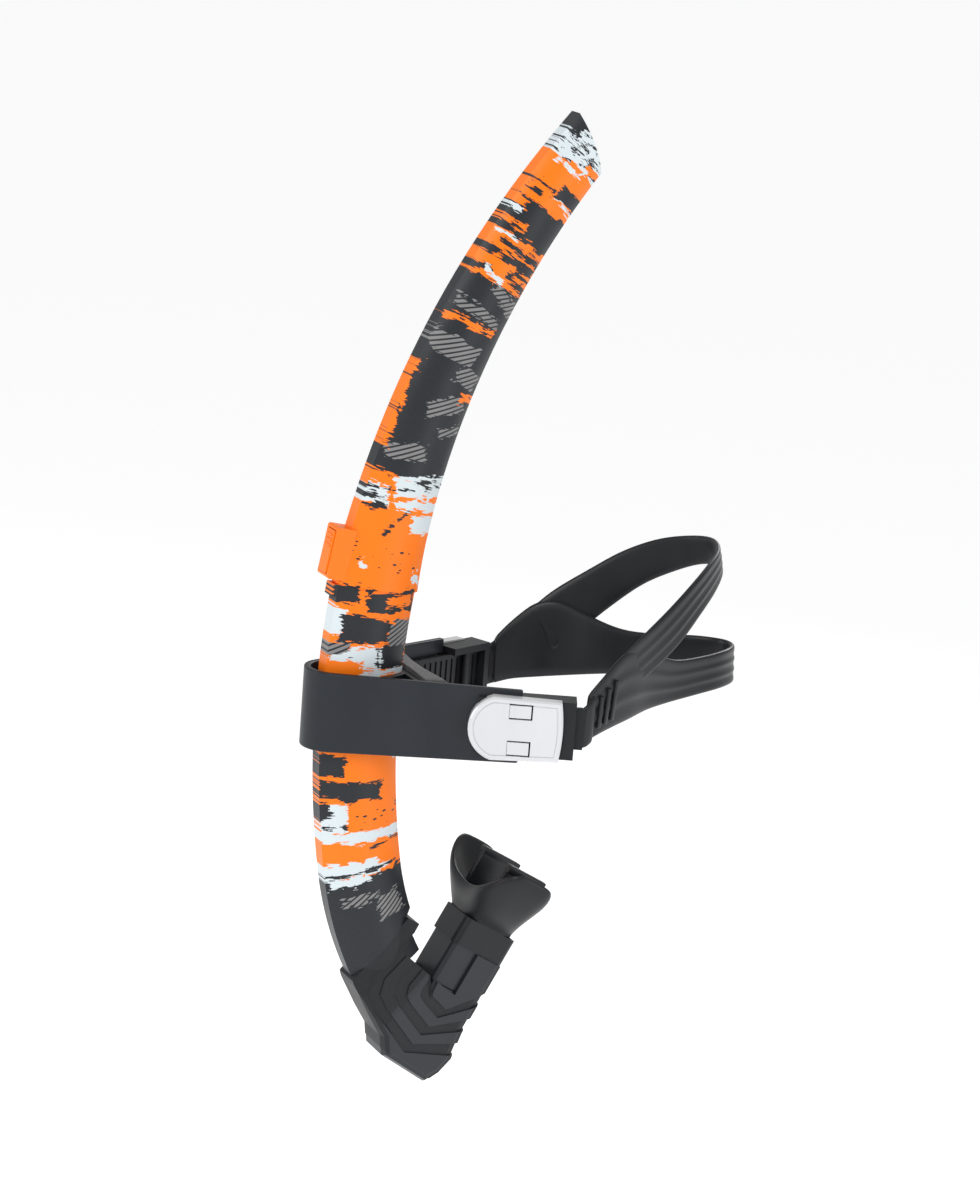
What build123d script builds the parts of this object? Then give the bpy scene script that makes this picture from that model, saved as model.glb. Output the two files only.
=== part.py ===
from build123d import *

import math
import os

os.makedirs("parts", exist_ok=True)

# Centre-mount swimmer's snorkel. Millimetres and degrees.
# Frame: the origin is the middle of the forehead pad's rear face, +X points to the back of the
# swimmer's head, +Y to the swimmer's right and +Z up. The tube stands upright where the head bracket
# holds it, and its centreline is an arc whose centre lies far behind the head.

# ---- tube: a lens-shaped section with a narrow flat at the front and at the rear
CURVE_RADIUS = 403.0
TUBE_DEPTH = 37.2
TUBE_WIDTH = 20.5
TUBE_WALL = 2.0
FRONT_FLAT = 8.0
REAR_FLAT = 5.0
JOINT_ANGLE = 8.2
BEND_ANGLE = -10.2
BEND_RADIUS = 150.0
BEND_SWEEP = 17.0
TOP_ANGLE = 39.1
TOP_SLANT = 23.7
COLLAR_STEP = 1.2
TIP_DEPTH = 27.4
TIP_WIDTH = 16.5

# ---- joint between the upper and the lower tube
SPIGOT_ANGLE = 2.5
SPIGOT_STEP = 1.9
SPIGOT_GAP = 0.3
SEAL_SIZE = 1.6
SEAL_ANGLE = 0.9
SEAL_SQUEEZE = 0.06

# ---- latch on the upper tube's front
LATCH_WIDTH = 12.0
LATCH_PROUD = 5.6
LATCH_WALL = 1.6
LATCH_ANGLE = 3.1
BUTTON_THICK = 2.4
BUTTON_PROUD = 0.7
BUTTON_GAP = 0.3
NOSE_SIZE = 3.6
NOSE_GAP = 0.5
NOSE_PLACE = -1.8
SPRING_WIDTH = 3.2
CATCH_WIDTH = 8.0
CATCH_PROUD = 2.4

# ---- head bracket, saddle and forehead pad
BAND_THICK = 3.0
BAND_HEIGHT = 36.0
BAND_END_HEIGHT = 33.0
BAND_NOSE_RADIUS = 14.0
BAND_NOSE_GAP = 3.9
ARM_ANGLE = 24.0
ARM_LENGTH = 82.5
SADDLE_WALL = 3.0
SADDLE_HEIGHT = 30.0
SLIDE_GAP = 0.4
PAD_THICK = 8.0
PAD_HEIGHT = 34.0
PAD_GAP = 0.35

# ---- buckles, placed by their distance from the arm's end
BUCKLE_LAP = 23.0
BUCKLE_LENGTH = 41.5
COVER_MARGIN = 1.3
COVER_THICK = 4.2
BASE_REACH = 23.9
BASE_THICK = 1.6
RAIL_THICK = 3.25
FINGER_PLACE = 17.5
FINGER_ROOT = 0.15
FINGER_LENGTH = 9.6
FINGER_HEIGHT = 5.6
FINGER_OFFSET = 8.3
FINGER_SLOT = 0.7
PIN_RADIUS = 1.5
PIN_REACH = 10.5

# ---- head strap: where it leaves the buckles, and the two bands at the back of the head
STRAP_THICK = 2.5
STRAP_HEIGHT = 18.7
STRAP_GAP = 0.4
STRAP_LAP = 37.5
STRAP_RIB_PITCH = 3.6
STRAP_RIB_WIDTH = 1.4
STRAP_RIB_DEPTH = 0.6
STRAP_CUT_REACH = 5.0
LOWER_REACH = 101.0
UPPER_REACH = 90.0
FORK_REACH = 25.0

# ---- elbow, rubber sleeve and mouthpiece leg
SLEEVE_THICK = 1.8
SOCKET_WALL = 1.6
SOCKET_DEEP = 3.0
BODY_WALL = 2.0
ELBOW_HALF_WIDTH = 13.2
ELBOW_ROUND = 4.0
EDGE_ANGLE = 48.0
RIB_DEPTH = 0.7
LEG_ANGLE = 61.0
LEG_WALL = 2.0
LEG_START = -18.0
LEG_TOP = 20.8
LEG_BACK = -6.2
LEG_GAP = 0.5
SPIGOT_LENGTH = 9.0
MOUTH_START = 2.0
NECK_GRIP = 10.0
WINDOW_LOW = 7.3
BAND_RING_HEIGHT = 13.0
BAND_RING_THICK = 1.0
RING_START = 2.0

# ---- purge valve in the elbow's lower face
PURGE_COVER = 3.0
PURGE_SEAT_DEPTH = 4.4
PURGE_SEAT_THICK = 1.6
PURGE_BORE = 8.4
PURGE_DISC_RADIUS = 7.6
PURGE_DISC_THICK = 1.0
PURGE_LIFT = 1.6
STEM_RADIUS = 0.9
STEM_GAP = 0.08

# ---- mouthpiece
FLANGE_HALF_WIDTH = 33.0
FLANGE_HEIGHT = 30.0
FLANGE_BEND_RADIUS = 39.0
FLANGE_THICK = 2.4
FLANGE_START = 25.5
TAB_LENGTH = 15.0
TAB_THICK = 3.0
TAB_SPREAD = 12.5
TAB_HEIGHT = 18.0
LUG_LENGTH = 3.6

# ---- sizes and places that follow from the values above
COLLAR_DEPTH = TUBE_DEPTH + 2 * COLLAR_STEP
COLLAR_WIDTH = TUBE_WIDTH + 2 * COLLAR_STEP
BASE_HEIGHT = STRAP_HEIGHT + 2 * (STRAP_GAP + RAIL_THICK)
BUCKLE_HEIGHT = BASE_HEIGHT + 2 * COVER_MARGIN
BUCKLE_START = ARM_LENGTH - BUCKLE_LAP
BASE_END = ARM_LENGTH + BASE_REACH
FINGER_START = BUCKLE_START + FINGER_PLACE
PIN_PLACE = ARM_LENGTH + PIN_REACH
STRAP_TAIL = ARM_LENGTH - STRAP_LAP
LEG_HALF_WIDTH = ELBOW_HALF_WIDTH - SLEEVE_THICK
LATCH_LENGTH = 2 * (CURVE_RADIUS + COLLAR_DEPTH / 2) * math.tan(math.radians(LATCH_ANGLE / 2))
LATCH_FLOOR = COLLAR_DEPTH / 2 + 1.3
LATCH_TOP = COLLAR_DEPTH / 2 + LATCH_PROUD
POCKET_LENGTH = LATCH_LENGTH - 2 * LATCH_WALL
POCKET_WIDTH = LATCH_WIDTH - 2 * LATCH_WALL
STRAP_OUT = -BAND_THICK - STRAP_GAP
STRAP_IN = STRAP_OUT - STRAP_THICK
PIN_OUT = STRAP_IN - STRAP_GAP - PIN_RADIUS
TUBE_X = -(PAD_THICK + SADDLE_WALL + SLIDE_GAP + TUBE_DEPTH / 2)
ARC_Z = -3.6
NOSE_FRONT_X = TUBE_X - TUBE_DEPTH / 2 - BAND_NOSE_GAP - BAND_THICK
NOSE_CENTRE_X = NOSE_FRONT_X + BAND_NOSE_RADIUS
ARC_AXIS = Axis((TUBE_X + CURVE_RADIUS, 0, ARC_Z), (0, 1, 0))


def arc_place(angle, offset=0.0):
    """A point beside the tube's centreline: offset is positive towards the front."""
    reach = CURVE_RADIUS + offset
    turn = math.radians(angle)
    return TUBE_X + CURVE_RADIUS - reach * math.cos(turn), ARC_Z + reach * math.sin(turn)


def arc_plane(angle):
    """The tube's cross plane: its x runs rearwards and its normal runs up the tube."""
    turn = math.radians(angle)
    x, z = arc_place(angle)
    return Plane(origin=(x, 0, z), x_dir=(math.cos(turn), 0, -math.sin(turn)),
                 z_dir=(math.sin(turn), 0, math.cos(turn)))


def section(plane, depth, width, front=FRONT_FLAT, rear=REAR_FLAT):
    """The tube's section as a face: two flats joined by two bowed flanks."""
    flat_front = min(front, 0.6 * width)
    flat_rear = min(rear, 0.5 * width)
    with BuildSketch(plane) as sketch:
        with BuildLine():
            a = (-depth / 2, flat_front / 2)
            b = (depth / 2, flat_rear / 2)
            Line((-depth / 2, -flat_front / 2), a)
            ThreePointArc(a, (-0.04 * depth, width / 2), b)
            Line(b, (depth / 2, -flat_rear / 2))
            ThreePointArc((depth / 2, -flat_rear / 2), (-0.04 * depth, -width / 2),
                          (-depth / 2, -flat_front / 2))
        make_face()
    return sketch.sketch


def arc_tube(start, end, depth, width, front=FRONT_FLAT, rear=REAR_FLAT):
    """A solid of constant section along the tube's centreline arc."""
    return revolve(section(arc_plane(start), depth, width, front, rear), ARC_AXIS, end - start)


def bend_tube(sweep, depth, width, front=FRONT_FLAT, rear=REAR_FLAT):
    """A solid of constant section below the arc, where the tube bends more sharply."""
    turn = math.radians(BEND_ANGLE)
    x, z = arc_place(BEND_ANGLE)
    centre = (x + BEND_RADIUS * math.cos(turn), 0, z - BEND_RADIUS * math.sin(turn))
    face = section(arc_plane(BEND_ANGLE), depth, width, front, rear)
    return revolve(face, Axis(centre, (0, 1, 0)), -sweep)


def bend_place(sweep):
    """A point of the tube's centreline below the arc."""
    turn = math.radians(BEND_ANGLE)
    end = math.radians(BEND_ANGLE - sweep)
    x, z = arc_place(BEND_ANGLE)
    return (x + BEND_RADIUS * (math.cos(turn) - math.cos(end)),
            z - BEND_RADIUS * (math.sin(turn) - math.sin(end)))


def bored(depth, width):
    """Depth and width of the section one wall inside another."""
    return depth - 2 * TUBE_WALL, width - 2 * TUBE_WALL


def arc_block(start, end, low, high, width):
    """A block on the tube's front, between two angles and two heights above the centreline."""
    face = arc_plane(start) * Pos((-(low + high) / 2), 0, 0) * Rectangle(high - low, width)
    return revolve(face, ARC_AXIS, end - start)


def side_prism(points, half_width):
    """A prism across the object from an outline in the XZ plane."""
    outline = Polyline([(x, 0, z) for x, z in points], close=True)
    return extrude(make_face(outline), half_width, dir=(0, 1, 0), both=True)


# ---- tube parts

UPPER_STATIONS = [
    (JOINT_ANGLE, COLLAR_DEPTH, COLLAR_WIDTH),
    (JOINT_ANGLE + 5.0, TUBE_DEPTH - 1.2, TUBE_WIDTH + 0.3),
    (JOINT_ANGLE + 13.0, TUBE_DEPTH - 4.6, TUBE_WIDTH - 1.0),
    (JOINT_ANGLE + 22.0, TIP_DEPTH + 2.0, TIP_WIDTH + 1.2),
    (TOP_ANGLE + 4.0, TIP_DEPTH - 0.6, TIP_WIDTH - 0.3),
]


def spigot_size():
    return TUBE_DEPTH - 2 * SPIGOT_STEP, TUBE_WIDTH - 2 * SPIGOT_STEP


def upper_loft(inset):
    faces = [section(arc_plane(a), d - 2 * inset, w - 2 * inset) for a, d, w in UPPER_STATIONS]
    return loft(faces)


def top_cutter():
    """Everything above the slanted rim, whose front edge stands higher than its rear edge."""
    turn = math.radians(TOP_ANGLE + TOP_SLANT)
    x, z = arc_place(TOP_ANGLE)
    plane = Plane(origin=(x, 0, z), x_dir=(math.cos(turn), 0, -math.sin(turn)),
                  z_dir=(math.sin(turn), 0, math.cos(turn)))
    return extrude(plane * Rectangle(160, 80), 80)


def latch_frame(height):
    """A plane on the latch's middle: z outwards from the tube, x down the tube."""
    angle = JOINT_ANGLE + 0.2 + LATCH_ANGLE / 2
    turn = math.radians(angle)
    x, z = arc_place(angle, height)
    return Plane(origin=(x, 0, z), x_dir=(-math.sin(turn), 0, -math.cos(turn)),
                 z_dir=(-math.cos(turn), 0, math.sin(turn)))


def upper_tube():
    outer = upper_loft(0.0)
    housing = extrude(latch_frame(COLLAR_DEPTH / 2 - 3.5) * Rectangle(LATCH_LENGTH, LATCH_WIDTH),
                      LATCH_PROUD + 3.5)
    housing = fillet(housing.edges().group_by(latch_sort)[-1], 1.2)
    bore = upper_loft(TUBE_WALL)
    depth, width = spigot_size()
    socket = arc_tube(JOINT_ANGLE - 1, JOINT_ANGLE + SPIGOT_ANGLE + 0.2,
                      depth + 2 * SPIGOT_GAP, width + 2 * SPIGOT_GAP)
    pocket = extrude(latch_frame(LATCH_FLOOR) * Rectangle(POCKET_LENGTH, POCKET_WIDTH), 20)
    hole_size = NOSE_SIZE + 2 * NOSE_GAP
    nose_hole = extrude(latch_frame(COLLAR_DEPTH / 2 - 6) * Pos(NOSE_PLACE, 0, 0)
                        * Rectangle(hole_size, hole_size), 10)
    return outer + housing - bore - socket - pocket - nose_hole - top_cutter()


def latch_sort(edge):
    """How far an edge's middle stands out from the tube's centreline arc."""
    middle = edge.center()
    centre_x = TUBE_X + CURVE_RADIUS
    return round(math.hypot(middle.X - centre_x, middle.Z - ARC_Z), 1)


def latch_button():
    """A press button with an inner nose that runs in the spigot's slot."""
    size = (POCKET_LENGTH - 2 * BUTTON_GAP, POCKET_WIDTH - 2 * BUTTON_GAP)
    low = LATCH_TOP + BUTTON_PROUD - BUTTON_THICK
    plate = extrude(latch_frame(low) * RectangleRounded(*size, 1.0), BUTTON_THICK)
    plate = fillet(plate.edges().group_by(latch_sort)[-1], 0.5)
    nose_low = TUBE_DEPTH / 2 - SPIGOT_STEP - 0.9
    nose = extrude(latch_frame(nose_low) * Pos(NOSE_PLACE, 0, 0) * Rectangle(NOSE_SIZE, NOSE_SIZE),
                   low - nose_low + 0.5)
    grip = Part() + [
        extrude(latch_frame(LATCH_TOP + BUTTON_PROUD - 0.1) * Pos(i * 2.4 - POCKET_LENGTH / 4, 0, 0)
                * Rectangle(1.0, size[1] - 2.4), 0.5)
        for i in range(-1, 2)
    ]
    return plate + nose + grip


def latch_spring():
    """A bowed leaf between the pocket's floor and the button."""
    rise = LATCH_TOP + BUTTON_PROUD - BUTTON_THICK - LATCH_FLOOR
    half = POCKET_LENGTH / 4 - 1.0
    with BuildSketch(latch_side_plane()) as sketch:
        with BuildLine():
            ThreePointArc((-half, 0), (0, rise - 0.02), (half, 0))
            Line((half, 0), (half - 0.5, 0))
            ThreePointArc((half - 0.5, 0), (0, rise - 0.32), (0.5 - half, 0))
            Line((0.5 - half, 0), (-half, 0))
        make_face()
    return extrude(sketch.sketch, SPRING_WIDTH / 2, both=True)


def latch_side_plane():
    """The latch's side view, resting on the pocket's floor in its lower half."""
    frame = latch_frame(LATCH_FLOOR)
    place = frame.origin + frame.x_dir * (POCKET_LENGTH / 4 + 0.5)
    return Plane(origin=place, x_dir=frame.x_dir, z_dir=(0, 1, 0))


def lower_tube():
    arc_part = arc_tube(BEND_ANGLE, JOINT_ANGLE, TUBE_DEPTH, TUBE_WIDTH)
    depth, width = spigot_size()
    spigot = arc_tube(JOINT_ANGLE - 0.5, JOINT_ANGLE + SPIGOT_ANGLE, depth, width)
    bend = bend_tube(BEND_SWEEP, TUBE_DEPTH, TUBE_WIDTH)
    narrow = bend_tube(BEND_SWEEP + SOCKET_DEEP, *neck_size())
    above_edge = edge_cutter(0.0)
    outer = arc_part + spigot + (bend - above_edge) + narrow
    catch = arc_block(JOINT_ANGLE - 0.85, JOINT_ANGLE - 0.1, TUBE_DEPTH / 2 - 3.2,
                      TUBE_DEPTH / 2 + CATCH_PROUD, CATCH_WIDTH)
    bore_depth, bore_width = bored(*neck_size())
    bore = bend_tube(BEND_SWEEP + SOCKET_DEEP + 1.0, bore_depth, bore_width)
    bore += arc_tube(BEND_ANGLE, JOINT_ANGLE + SPIGOT_ANGLE + 1, bore_depth, bore_width)
    slot_low = TUBE_DEPTH / 2 - SPIGOT_STEP - 5
    slot = arc_block(JOINT_ANGLE + SEAL_ANGLE + 0.35, JOINT_ANGLE + SPIGOT_ANGLE + 1, slot_low,
                     TUBE_DEPTH / 2, 4.8)
    return outer + catch - bore - slot - seal_ring(0.0)


def neck_size():
    """The lower tube's thinner end, which stands in the elbow's socket."""
    step = SLEEVE_THICK + SOCKET_WALL
    return TUBE_DEPTH - 2 * step, TUBE_WIDTH - 2 * step


def seal_ring(lift):
    """The ring in the spigot's groove; lift is how far it stands out of the groove."""
    depth, width = spigot_size()
    low = JOINT_ANGLE + SEAL_ANGLE
    high = low + math.degrees(SEAL_SIZE / CURVE_RADIUS)
    outer = arc_tube(low, high, depth + 2 * lift, width + 2 * lift)
    inner = arc_tube(low - 0.2, high + 0.2, depth - SEAL_SIZE, width - SEAL_SIZE)
    return outer - inner


def tube_seal():
    return seal_ring(SPIGOT_GAP - SEAL_SQUEEZE)


# ---- elbow

def from_end(points):
    """Places in the side view given from the lower end of the tube's centreline."""
    end_x, end_z = bend_place(BEND_SWEEP)
    return [(end_x + x, end_z + z) for x, z in points]


# The elbow in the side view: the leg's origin, the middle of the sleeve's slanted edge, the outside,
# and the edge of the hard shoe, which shows in front and carries the purge valve in its lower face.
LEG_X, LEG_Z = from_end([(47.0, -5.5)])[0]
EDGE_X, EDGE_Z = from_end([(-16.5, -9.3)])[0]
ELBOW_OUTLINE = from_end([
    (-25.6, 13.0), (-16.2, -12.5), (-8.0, -27.7), (-2.6, -36.5), (-1.4, -46.2), (20.3, -60.9),
    (27.3, -56.8), (33.3, -50.6), (37.9, -38.3), (62.0, 5.5), (36.0, 19.0), (20.9, -8.2), (16.1, 9.3),
    (12.3, 22.8), (-2.6, 33.0),
])
SHOE_OUTLINE = from_end([
    (-50.6, -24.0), (-10.1, -24.0), (-6.0, -27.6), (2.8, -41.6), (23.4, -55.4), (49.4, -61.0),
    (49.4, -83.0), (-50.6, -83.0),
])
PURGE_FRONT = ELBOW_OUTLINE[4]
PURGE_REAR = ELBOW_OUTLINE[5]

# The chevrons' corners, from the notch behind the tube round to the elbow's rear edge: the outermost
# line and the innermost one. The lines between them are shares of the way.
CHEVRON_OUTER = from_end([
    (11.9, 12.7), (-8.4, -7.5), (-10.6, -16.0), (-6.4, -24.5), (8.4, -44.2), (41.4, -49.5),
])
CHEVRON_INNER = from_end([
    (23.4, -10.0), (20.6, -16.0), (20.3, -17.7), (20.9, -18.6), (27.4, -25.2), (53.4, -17.5),
])
CHEVRON_BANDS = [(1.0, 0.8), (0.6, 0.4), (0.2, 0.0)]


def leg_place(along, up):
    """A point in the leg's own axes: along it, and up from it towards the tube."""
    turn = math.radians(LEG_ANGLE)
    x = LEG_X + along * math.cos(turn) - up * math.sin(turn)
    z = LEG_Z + along * math.sin(turn) + up * math.cos(turn)
    return x, z


def leg_plane(along, up=0.0):
    """The leg's cross plane: its x points up from the leg and its normal along it."""
    turn = math.radians(LEG_ANGLE)
    x, z = leg_place(along, up)
    return Plane(origin=(x, 0, z), x_dir=(-math.sin(turn), 0, math.cos(turn)),
                 z_dir=(math.cos(turn), 0, math.sin(turn)))


def leg_box(start, end, low, high, half_width, corner=3.0):
    """A block along the leg with its long edges rounded."""
    face = leg_plane(start, (low + high) / 2) * RectangleRounded(high - low, 2 * half_width, corner)
    return extrude(face, end - start)


def edge_cutter(shift):
    """Everything on the elbow's side of the sleeve's slanted upper edge."""
    turn = math.radians(EDGE_ANGLE)
    normal = (math.sin(turn), 0, -math.cos(turn))
    origin = (EDGE_X + shift * normal[0], 0, EDGE_Z + shift * normal[2])
    plane = Plane(origin=origin, x_dir=(math.cos(turn), 0, math.sin(turn)), z_dir=normal)
    return extrude(plane * Rectangle(200, 120), 120)


def elbow_block(inset):
    """The elbow's outside moved in by inset: the tube's section running into a bevelled block."""
    outline = make_face(Polyline([(x, 0, z) for x, z in ELBOW_OUTLINE], close=True))
    if inset:
        outline = offset(outline, -inset, kind=Kind.INTERSECTION)
    block = bevelled(outline, ELBOW_HALF_WIDTH - inset, ELBOW_ROUND) & waist_prism(inset)
    lens = bend_tube(BEND_SWEEP + SOCKET_DEEP, TUBE_DEPTH - 2 * inset, TUBE_WIDTH - 2 * inset)
    return block + lens


def bevelled(outline, half, size):
    """A slab on both sides of the middle plane whose long edges are eased by two bevels."""
    slab = extrude(outline, half - size, dir=(0, 1, 0), both=True)
    steps = [(0.7 * size, 0.3 * size), (0.3 * size, 0.7 * size)]
    for side in (1, -1):
        start = half - size
        moved_in = 0.0
        for rise, run in steps:
            face = offset(outline, -moved_in, kind=Kind.INTERSECTION) if moved_in else outline
            face = face.moved(Location((0, side * start, 0)))
            slope = math.degrees(math.atan2(run, rise))
            slab += extrude(face, rise, dir=(0, side, 0), taper=slope)
            start += rise
            moved_in += run
    return slab


def waist_prism(inset):
    """Limits the elbow's width, which grows from less than the tube's at the slanted edge."""
    turn = math.radians(EDGE_ANGLE)
    normal = (math.sin(turn), 0, -math.cos(turn))
    plane = Plane(origin=(EDGE_X, 0, EDGE_Z), x_dir=normal, z_dir=(math.cos(turn), 0, math.sin(turn)))
    slim = 0.36 * TUBE_WIDTH - inset
    middle = TUBE_WIDTH / 2 + 0.3 - inset
    wide = ELBOW_HALF_WIDTH - inset
    profile = [(-60, slim), (-2, slim), (9, middle), (26, wide), (120, wide)]
    points = [(x, -y) for x, y in profile] + profile[::-1]
    return extrude(plane * make_face(Polyline(*points, close=True)), 160, both=True)


def leg_keep(limit):
    """Everything on the elbow's side of a cut across the leg."""
    turn = math.radians(LEG_ANGLE)
    x, z = leg_place(limit, 0)
    plane = Plane(origin=(x, 0, z), x_dir=(0, 1, 0), z_dir=(-math.cos(turn), 0, -math.sin(turn)))
    return extrude(plane * Rectangle(120, 400), 400)


def purge_plane(depth):
    """A plane on the purge valve's axis at a depth inside the lower face, facing inwards."""
    run_x = PURGE_REAR[0] - PURGE_FRONT[0]
    run_z = PURGE_REAR[1] - PURGE_FRONT[1]
    length = math.hypot(run_x, run_z)
    normal = (-run_z / length, 0, run_x / length)
    middle = ((PURGE_FRONT[0] + PURGE_REAR[0]) / 2, 0, (PURGE_FRONT[1] + PURGE_REAR[1]) / 2)
    return Plane(origin=(middle[0] + depth * normal[0], 0, middle[2] + depth * normal[2]),
                 x_dir=(run_x / length, 0, run_z / length), z_dir=normal)


def purge_round(low, high, radius):
    return extrude(purge_plane(low) * Circle(radius), high - low)


def elbow_body():
    """The hard elbow: socket for the tube, hollow knee, socket for the leg, and the shoe."""
    outer = elbow_block(SLEEVE_THICK) & edge_cutter(0.0) & leg_keep(LEG_START)
    shoe = elbow_block(0.3) & side_prism(SHOE_OUTLINE, 40) & leg_keep(LEG_START)
    cavity = elbow_block(SLEEVE_THICK + BODY_WALL) & edge_cutter(14.0) & leg_keep(LEG_START - SPIGOT_LENGTH)
    neck = bend_tube(BEND_SWEEP + SOCKET_DEEP, *neck_size())
    socket = leg_box(LEG_START - SPIGOT_LENGTH, LEG_START + 2, *leg_spigot())
    floor_keep = extrude(purge_plane(PURGE_SEAT_DEPTH + PURGE_SEAT_THICK + 0.4) * Rectangle(200, 80), 200)
    body = outer + shoe - (cavity & floor_keep) - neck - socket
    cover_room = extrude(purge_plane(PURGE_COVER) * Rectangle(200, 80), -60)
    seat_bore = purge_round(0, PURGE_SEAT_DEPTH + PURGE_SEAT_THICK + 4, PURGE_BORE)
    return body - cover_room - seat_bore


def leg_spigot():
    """Low, high and half width of the leg's thinner end, and its corner radius."""
    return LEG_BACK + LEG_WALL, LEG_TOP - LEG_WALL, LEG_HALF_WIDTH - LEG_WALL, 2.0


def purge_seat():
    """The valve's seat: a ring with a cross that carries the stem's hub."""
    low = PURGE_SEAT_DEPTH
    high = low + PURGE_SEAT_THICK
    ring = purge_round(low, high, PURGE_BORE) - purge_round(low - 1, high + 1, PURGE_BORE - 2.0)
    frame = purge_plane(low)
    cross = extrude(frame * Rectangle(2 * PURGE_BORE - 2, 1.4), PURGE_SEAT_THICK)
    cross += extrude(frame * Rectangle(1.4, 2 * PURGE_BORE - 2), PURGE_SEAT_THICK)
    hub = purge_round(low, high, 2.4)
    return ring + cross + hub - purge_round(low - 1, high + 1, STEM_RADIUS + STEM_GAP)


def purge_disc():
    """The valve's soft disc with its stem and the bead that keeps it in the seat."""
    low = PURGE_SEAT_DEPTH - PURGE_DISC_THICK
    stem_end = PURGE_SEAT_DEPTH + PURGE_SEAT_THICK + PURGE_LIFT + 0.2
    disc = purge_round(low, PURGE_SEAT_DEPTH, PURGE_DISC_RADIUS)
    stem = purge_round(low, stem_end + 0.1, STEM_RADIUS)
    bead = purge_round(stem_end, stem_end + 1.2, STEM_RADIUS + 0.5)
    return disc + stem + bead


def purge_cover():
    """The vented plate over the valve, flush with the elbow's lower face."""
    plate = elbow_block(0.3) & extrude(purge_plane(PURGE_COVER) * Rectangle(200, 80), -60)
    room = purge_round(PURGE_COVER - 2.0, PURGE_COVER + 1, PURGE_DISC_RADIUS + 0.5)
    vents = Part() + [
        extrude(purge_plane(-1) * Pos(i * 3.4, 0, 0) * SlotOverall(13.0 - 1.6 * abs(i), 1.7, rotation=90), 6)
        for i in range(-2, 3)
    ]
    return plate - room - vents


def mouthpiece_tube():
    """The hard leg: its thinner ends stand in the elbow and in the mouthpiece's neck."""
    body = leg_box(LEG_START + LEG_GAP, MOUTH_START, LEG_BACK, LEG_TOP, LEG_HALF_WIDTH, 2.6)
    low, high, half, corner = leg_spigot()
    spigot = leg_box(LEG_START - SPIGOT_LENGTH, LEG_START + 3, low + 0.25, high - 0.25, half - 0.25, corner)
    neck = leg_box(MOUTH_START - 1, MOUTH_START + NECK_GRIP, low, high, half, corner)
    bore = leg_box(LEG_START - 12, MOUTH_START + NECK_GRIP + 1, low + 1.8, high - 1.8, half - 1.8, 1.4)
    return body + spigot + neck - bore - leg_seal_ring(0.0)


def leg_seal_ring(lift):
    """The ring in the leg's groove; lift is how far it stands out of the groove."""
    low, high, half, corner = leg_spigot()
    start = LEG_START - 5.5
    outer = leg_box(start, start + 1.8, low + 0.25 - lift, high - 0.25 + lift, half - 0.25 + lift, corner)
    inner = leg_box(start - 1, start + 3, low + 1.05, high - 1.05, half - 1.05, corner - 0.8)
    return outer - inner


def leg_seal():
    return leg_seal_ring(0.2)


def elbow_sleeve():
    """The rubber cover with nested chevrons on both flanks and a window on the hard leg."""
    skin = elbow_block(0.0) & edge_cutter(0.0) & leg_keep(MOUTH_START - 0.2)
    hard = elbow_block(SLEEVE_THICK) & leg_keep(LEG_START)
    shoe = elbow_block(0.3) & side_prism(SHOE_OUTLINE, 40)
    below_cover = extrude(purge_plane(PURGE_COVER) * Rectangle(200, 80), -60)
    leg = leg_box(LEG_START - 2, MOUTH_START + 4, LEG_BACK, LEG_TOP, LEG_HALF_WIDTH, 2.6)
    gap = leg_box(LEG_START, LEG_START + 2.0, LEG_BACK, LEG_TOP, LEG_HALF_WIDTH, 2.6)
    neck = bend_tube(BEND_SWEEP + SOCKET_DEEP, *neck_size())
    return skin - hard - shoe - below_cover - leg - gap - neck - window_cutter() - chevrons()


def window_cutter():
    """The window's prism: open towards the tube, rounded at its lower end."""
    corners = [
        leg_place(LEG_START + 5.0, 40),
        leg_place(LEG_START, WINDOW_LOW + 7.0),
        leg_place(LEG_START - 1.0, WINDOW_LOW),
        leg_place(MOUTH_START + 3, WINDOW_LOW),
        leg_place(MOUTH_START + 3, 40),
    ]
    return side_prism(corners, 40)


def chevron_line(share):
    line = []
    for inner, outer in zip(CHEVRON_INNER, CHEVRON_OUTER):
        line.append((inner[0] + share * (outer[0] - inner[0]), inner[1] + share * (outer[1] - inner[1])))
    return line


def chevrons():
    """The sunk bands between the raised chevrons, to one depth below the sleeve's surface."""
    core = elbow_block(RIB_DEPTH)
    bands = Part() + [
        side_prism(chevron_line(high) + chevron_line(low)[::-1], 40) for high, low in CHEVRON_BANDS
    ]
    return bands - core


# ---- mouthpiece

def neck_band():
    """The ring that clamps the mouthpiece's neck on the leg."""
    grow = BAND_RING_THICK
    outer = leg_box(RING_START + 0.1, RING_START + BAND_RING_HEIGHT, LEG_BACK - grow, LEG_TOP + grow,
                    LEG_HALF_WIDTH + grow, 3.2)
    inner = leg_box(RING_START - 1, RING_START + BAND_RING_HEIGHT + 1, LEG_BACK, LEG_TOP, LEG_HALF_WIDTH, 2.6)
    return outer - inner


def flange_outline():
    """The lip flange seen along the leg: two lobes with a notch above and below."""
    high = FLANGE_HEIGHT / 2
    wide = FLANGE_HALF_WIDTH
    quarter = [(high - 5.0, 0), (high - 1.6, 0.42 * wide), (high, 0.7 * wide),
               (0.62 * high, 0.95 * wide), (0, wide)]
    right = quarter + [(-x, y) for x, y in quarter[-2::-1]]
    left = [(x, -y) for x, y in right[-2:0:-1]]
    return Spline(*(right + left), periodic=True)


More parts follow.
